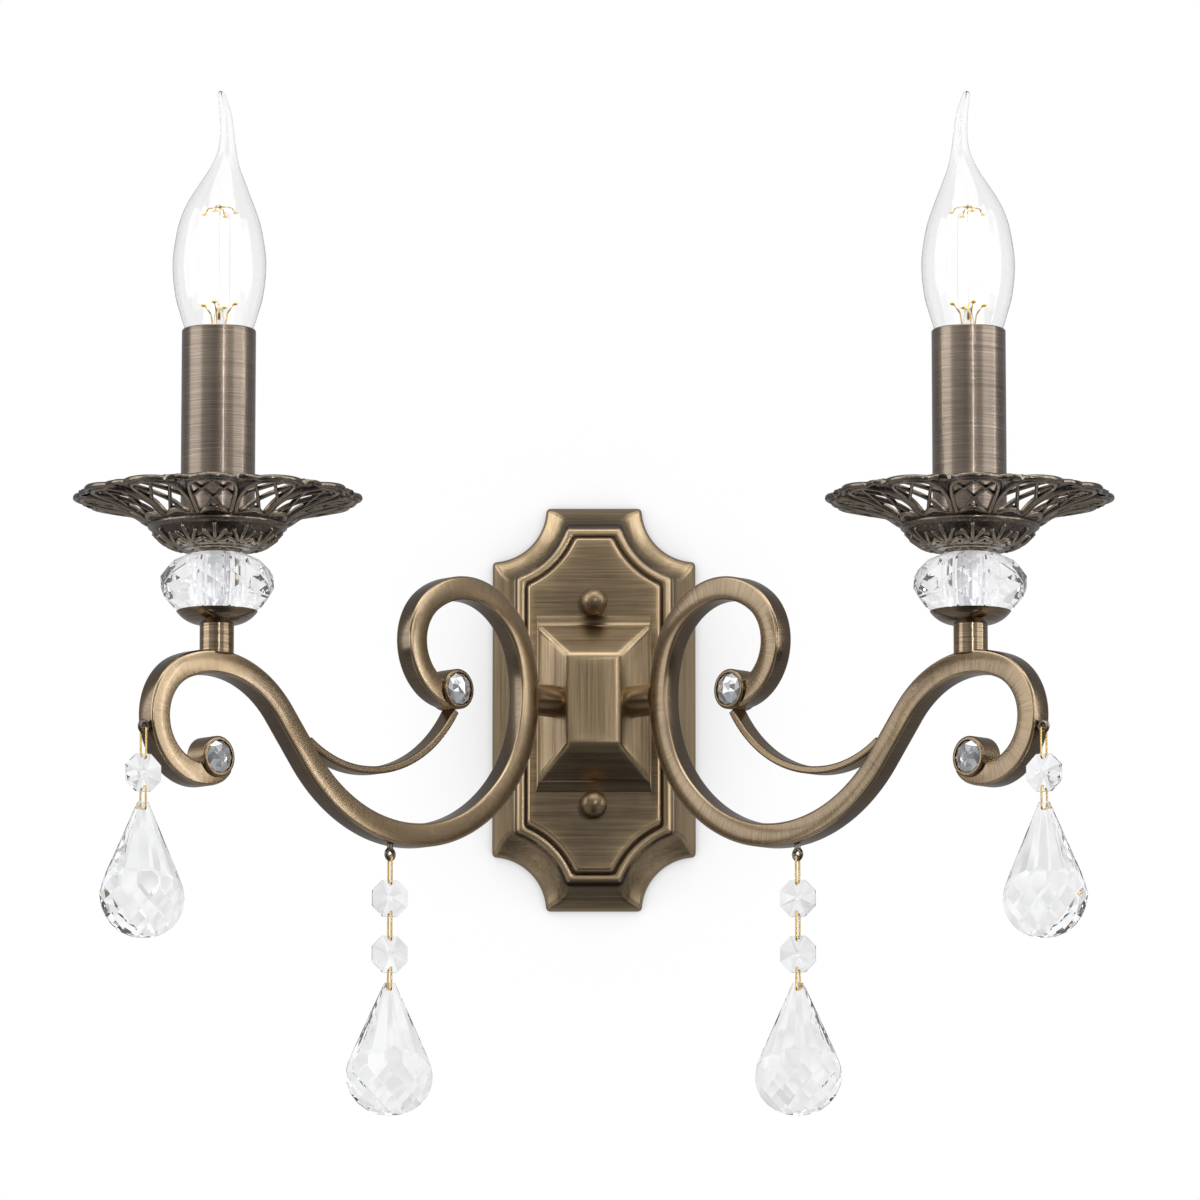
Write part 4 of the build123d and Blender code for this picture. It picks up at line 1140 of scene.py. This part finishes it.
def wall_paint():
    """Bright wall with contact shadows, see-through from behind."""
    m, tree, shader = new_material("wall_paint")
    contact = node(tree, "AmbientOcclusion", Distance=0.06, samples=16)
    shade = ramp(tree, contact.outputs["AO"], [(0.0, 0.12), (0.35, 0.45), (0.6, 0.74), (0.8, 0.91), (0.95, 1.0)])
    ray = node(tree, "LightPath").outputs
    through, mirrored = ray["Is Transmission Ray"], ray["Is Glossy Ray"]
    place = node(tree, "TexCoord").outputs["Object"]
    split = node(tree, "SeparateXYZ")
    tree.links.new(place, split.inputs[0])

    # Through the crystals the lower wall breaks into light and dark cells.
    cells = scaled_noise(tree, place, (22, 1, 22), detail=3)
    cells = ramp(tree, cells, [(0.36, 0.70), (0.46, 0.95), (0.54, 0.80), (0.62, 1.0)])
    fade = ramp(tree, maths(tree, "MULTIPLY", split.outputs["Z"], 10.0), [(0.75, 1.0), (0.95, 0.0)])
    bent = maths(tree, "MULTIPLY", through, fade)
    shade = mix_colour(tree, bent, shade, mix_colour(tree, 1.0, shade, cells, "MULTIPLY"))
    # The metal mirrors it as a dim grey.
    dim = maths(tree, "MULTIPLY", mirrored, maths(tree, "SUBTRACT", 1.0, through))
    shade = mix_colour(tree, dim, shade, (0.26, 0.26, 0.27))

    bright = node(tree, "Emission", Strength=1.0)
    tree.links.new(shade, bright.inputs["Color"])
    direct = maths(tree, "MAXIMUM", ray["Is Camera Ray"], maths(tree, "MAXIMUM", through, mirrored))
    fit(tree, shader, Base_Color=(0.85, 0.85, 0.85), Roughness=0.9)
    front = mix_shader(tree, direct, shader.outputs[0], bright.outputs[0])
    clear = node(tree, "BsdfTransparent").outputs[0]
    one_sided = mix_shader(tree, node(tree, "NewGeometry").outputs["Backfacing"], front, clear)
    tree.links.new(one_sided, tree.get_output_node("ALL").inputs[0])
    return m


WALL_Y, FLOOR_Z = 0.0006, -1.6
wall = sheet_mesh("wall", [(-3, WALL_Y, -2), (3, WALL_Y, -2), (3, WALL_Y, 2.5), (-3, WALL_Y, 2.5)])
wall.data.materials.append(wall_paint())
floor = sheet_mesh("floor", [(-3, -4, FLOOR_Z), (3, -4, FLOOR_Z), (3, 0.01, FLOOR_Z), (-3, 0.01, FLOOR_Z)])
floor.data.materials.append(plain("pale_floor", (0.86, 0.855, 0.84), 0.7, 0.0, 0.45))
floor.visible_glossy = False


def area(name, place, target, size, power):
    """A soft rectangular light aimed at a point."""
    data = bpy.data.lights.new(name, "AREA")
    data.shape = "RECTANGLE"
    data.size, data.size_y = size
    data.energy = power
    obj = placed(name, data)
    obj.location = place
    obj.rotation_euler = (Vector(target) - Vector(place)).to_track_quat("-Z", "Y").to_euler()
    obj.visible_camera = False


area("softbox_left", (-1.15, -0.42, 0.42), (-0.1, -0.1, 0.05), (0.9, 1.1), 4.2)
area("softbox_right", (1.08, -0.58, 0.42), (0.1, -0.1, 0.05), (0.95, 1.1), 4.1)
area("front_strip", (0.50, -2.12, 0.38), (0.0, -0.1, 0.05), (0.07, 1.0), 3.2)
area("side_strip", (1.15, -0.27, 0.25), (0.0, -0.15, 0.05), (0.03, 0.9), 0.45)
area("top_light", (0.0, -0.7, 1.4), (0.0, -0.1, 0.0), (1.6, 0.9), 7)

# Brightness of the room by height, by distance to the sides and towards its lower sides.
RISE = [(0.0, (0.13, 0.132, 0.14)), (0.40, (0.19, 0.192, 0.20)), (0.50, (0.25, 0.25, 0.255))]
RISE += [(0.56, (0.55, 0.55, 0.55)), (0.64, (0.66, 0.66, 0.66)), (1.0, (0.6, 0.6, 0.6))]
SPREAD = [(0.0, 0.8), (0.12, 1.0), (0.29, 0.9), (0.4, 0.55), (0.5, 0.5), (0.6, 0.55), (0.71, 0.9)]
SPREAD += [(0.86, 1.0), (0.93, 0.6), (1.0, 0.4)]
LOW_SIDES = [(0.35, 0.0), (0.75, 0.35), (1.0, 0.15)]
BELOW = [(0.12, 1.0), (0.3, 0.8), (0.4, 0.0)]
GLINTS = [(0.38, 0.35), (0.47, 0.85), (0.56, 0.6), (0.62, 1.0)]


def studio_world():
    """Dim room for reflections, with glints for the crystals, and white for the camera."""
    world = bpy.data.worlds.new("studio")
    world.use_nodes = True
    tree = world.node_tree
    tree.nodes.clear()
    coords = node(tree, "TexCoord").outputs["Generated"]
    split = node(tree, "SeparateXYZ")
    tree.links.new(coords, split.inputs[0])
    across, height = (
        maths(tree, "ADD", maths(tree, "MULTIPLY", split.outputs[axis], 0.5), 0.5) for axis in ("X", "Z")
    )
    sides = ramp(tree, maths(tree, "ABSOLUTE", split.outputs["X"]), LOW_SIDES)
    glow = mix_colour(tree, 1.0, sides, ramp(tree, height, BELOW), "MULTIPLY")
    tone = mix_colour(tree, 1.0, ramp(tree, height, RISE), glow, "ADD")
    tone = mix_colour(tree, 1.0, tone, ramp(tree, across, SPREAD), "MULTIPLY")
    path = node(tree, "LightPath").outputs
    glints = ramp(tree, scaled_noise(tree, coords, (5, 5, 5), detail=3), GLINTS)
    tone = mix_colour(tree, path["Is Transmission Ray"], tone, glints)
    tone = mix_colour(tree, path["Is Camera Ray"], tone, (1.0, 1.0, 1.0))
    sky = node(tree, "Background")
    tree.links.new(tone, sky.inputs[0])
    tree.links.new(sky.outputs[0], node(tree, "OutputWorld").inputs[0])
    return world


scene = bpy.context.scene
scene.world = studio_world()

# ------------------------------ camera
CAMERA_AT = (2.36, -3124.7, -423.2)
cam_data = bpy.data.cameras.new("camera")
cam_data.lens = 240.0
cam_data.sensor_width = 36.0
cam_data.clip_start = 0.1
cam_data.clip_end = 20.0
cam = placed("camera", cam_data)
cam.location = Vector(CAMERA_AT) * MM
cam.rotation_euler = (radians(98.5), 0, 0)
scene.camera = cam
scene.view_settings.view_transform = "Standard"

# Clear glass casts no shadow.
for thing in scene.objects:
    if thing.type == "MESH" and any(m in (M_CRYSTAL, M_BEAD, M_BULB) for m in thing.data.materials):
        thing.visible_shadow = False
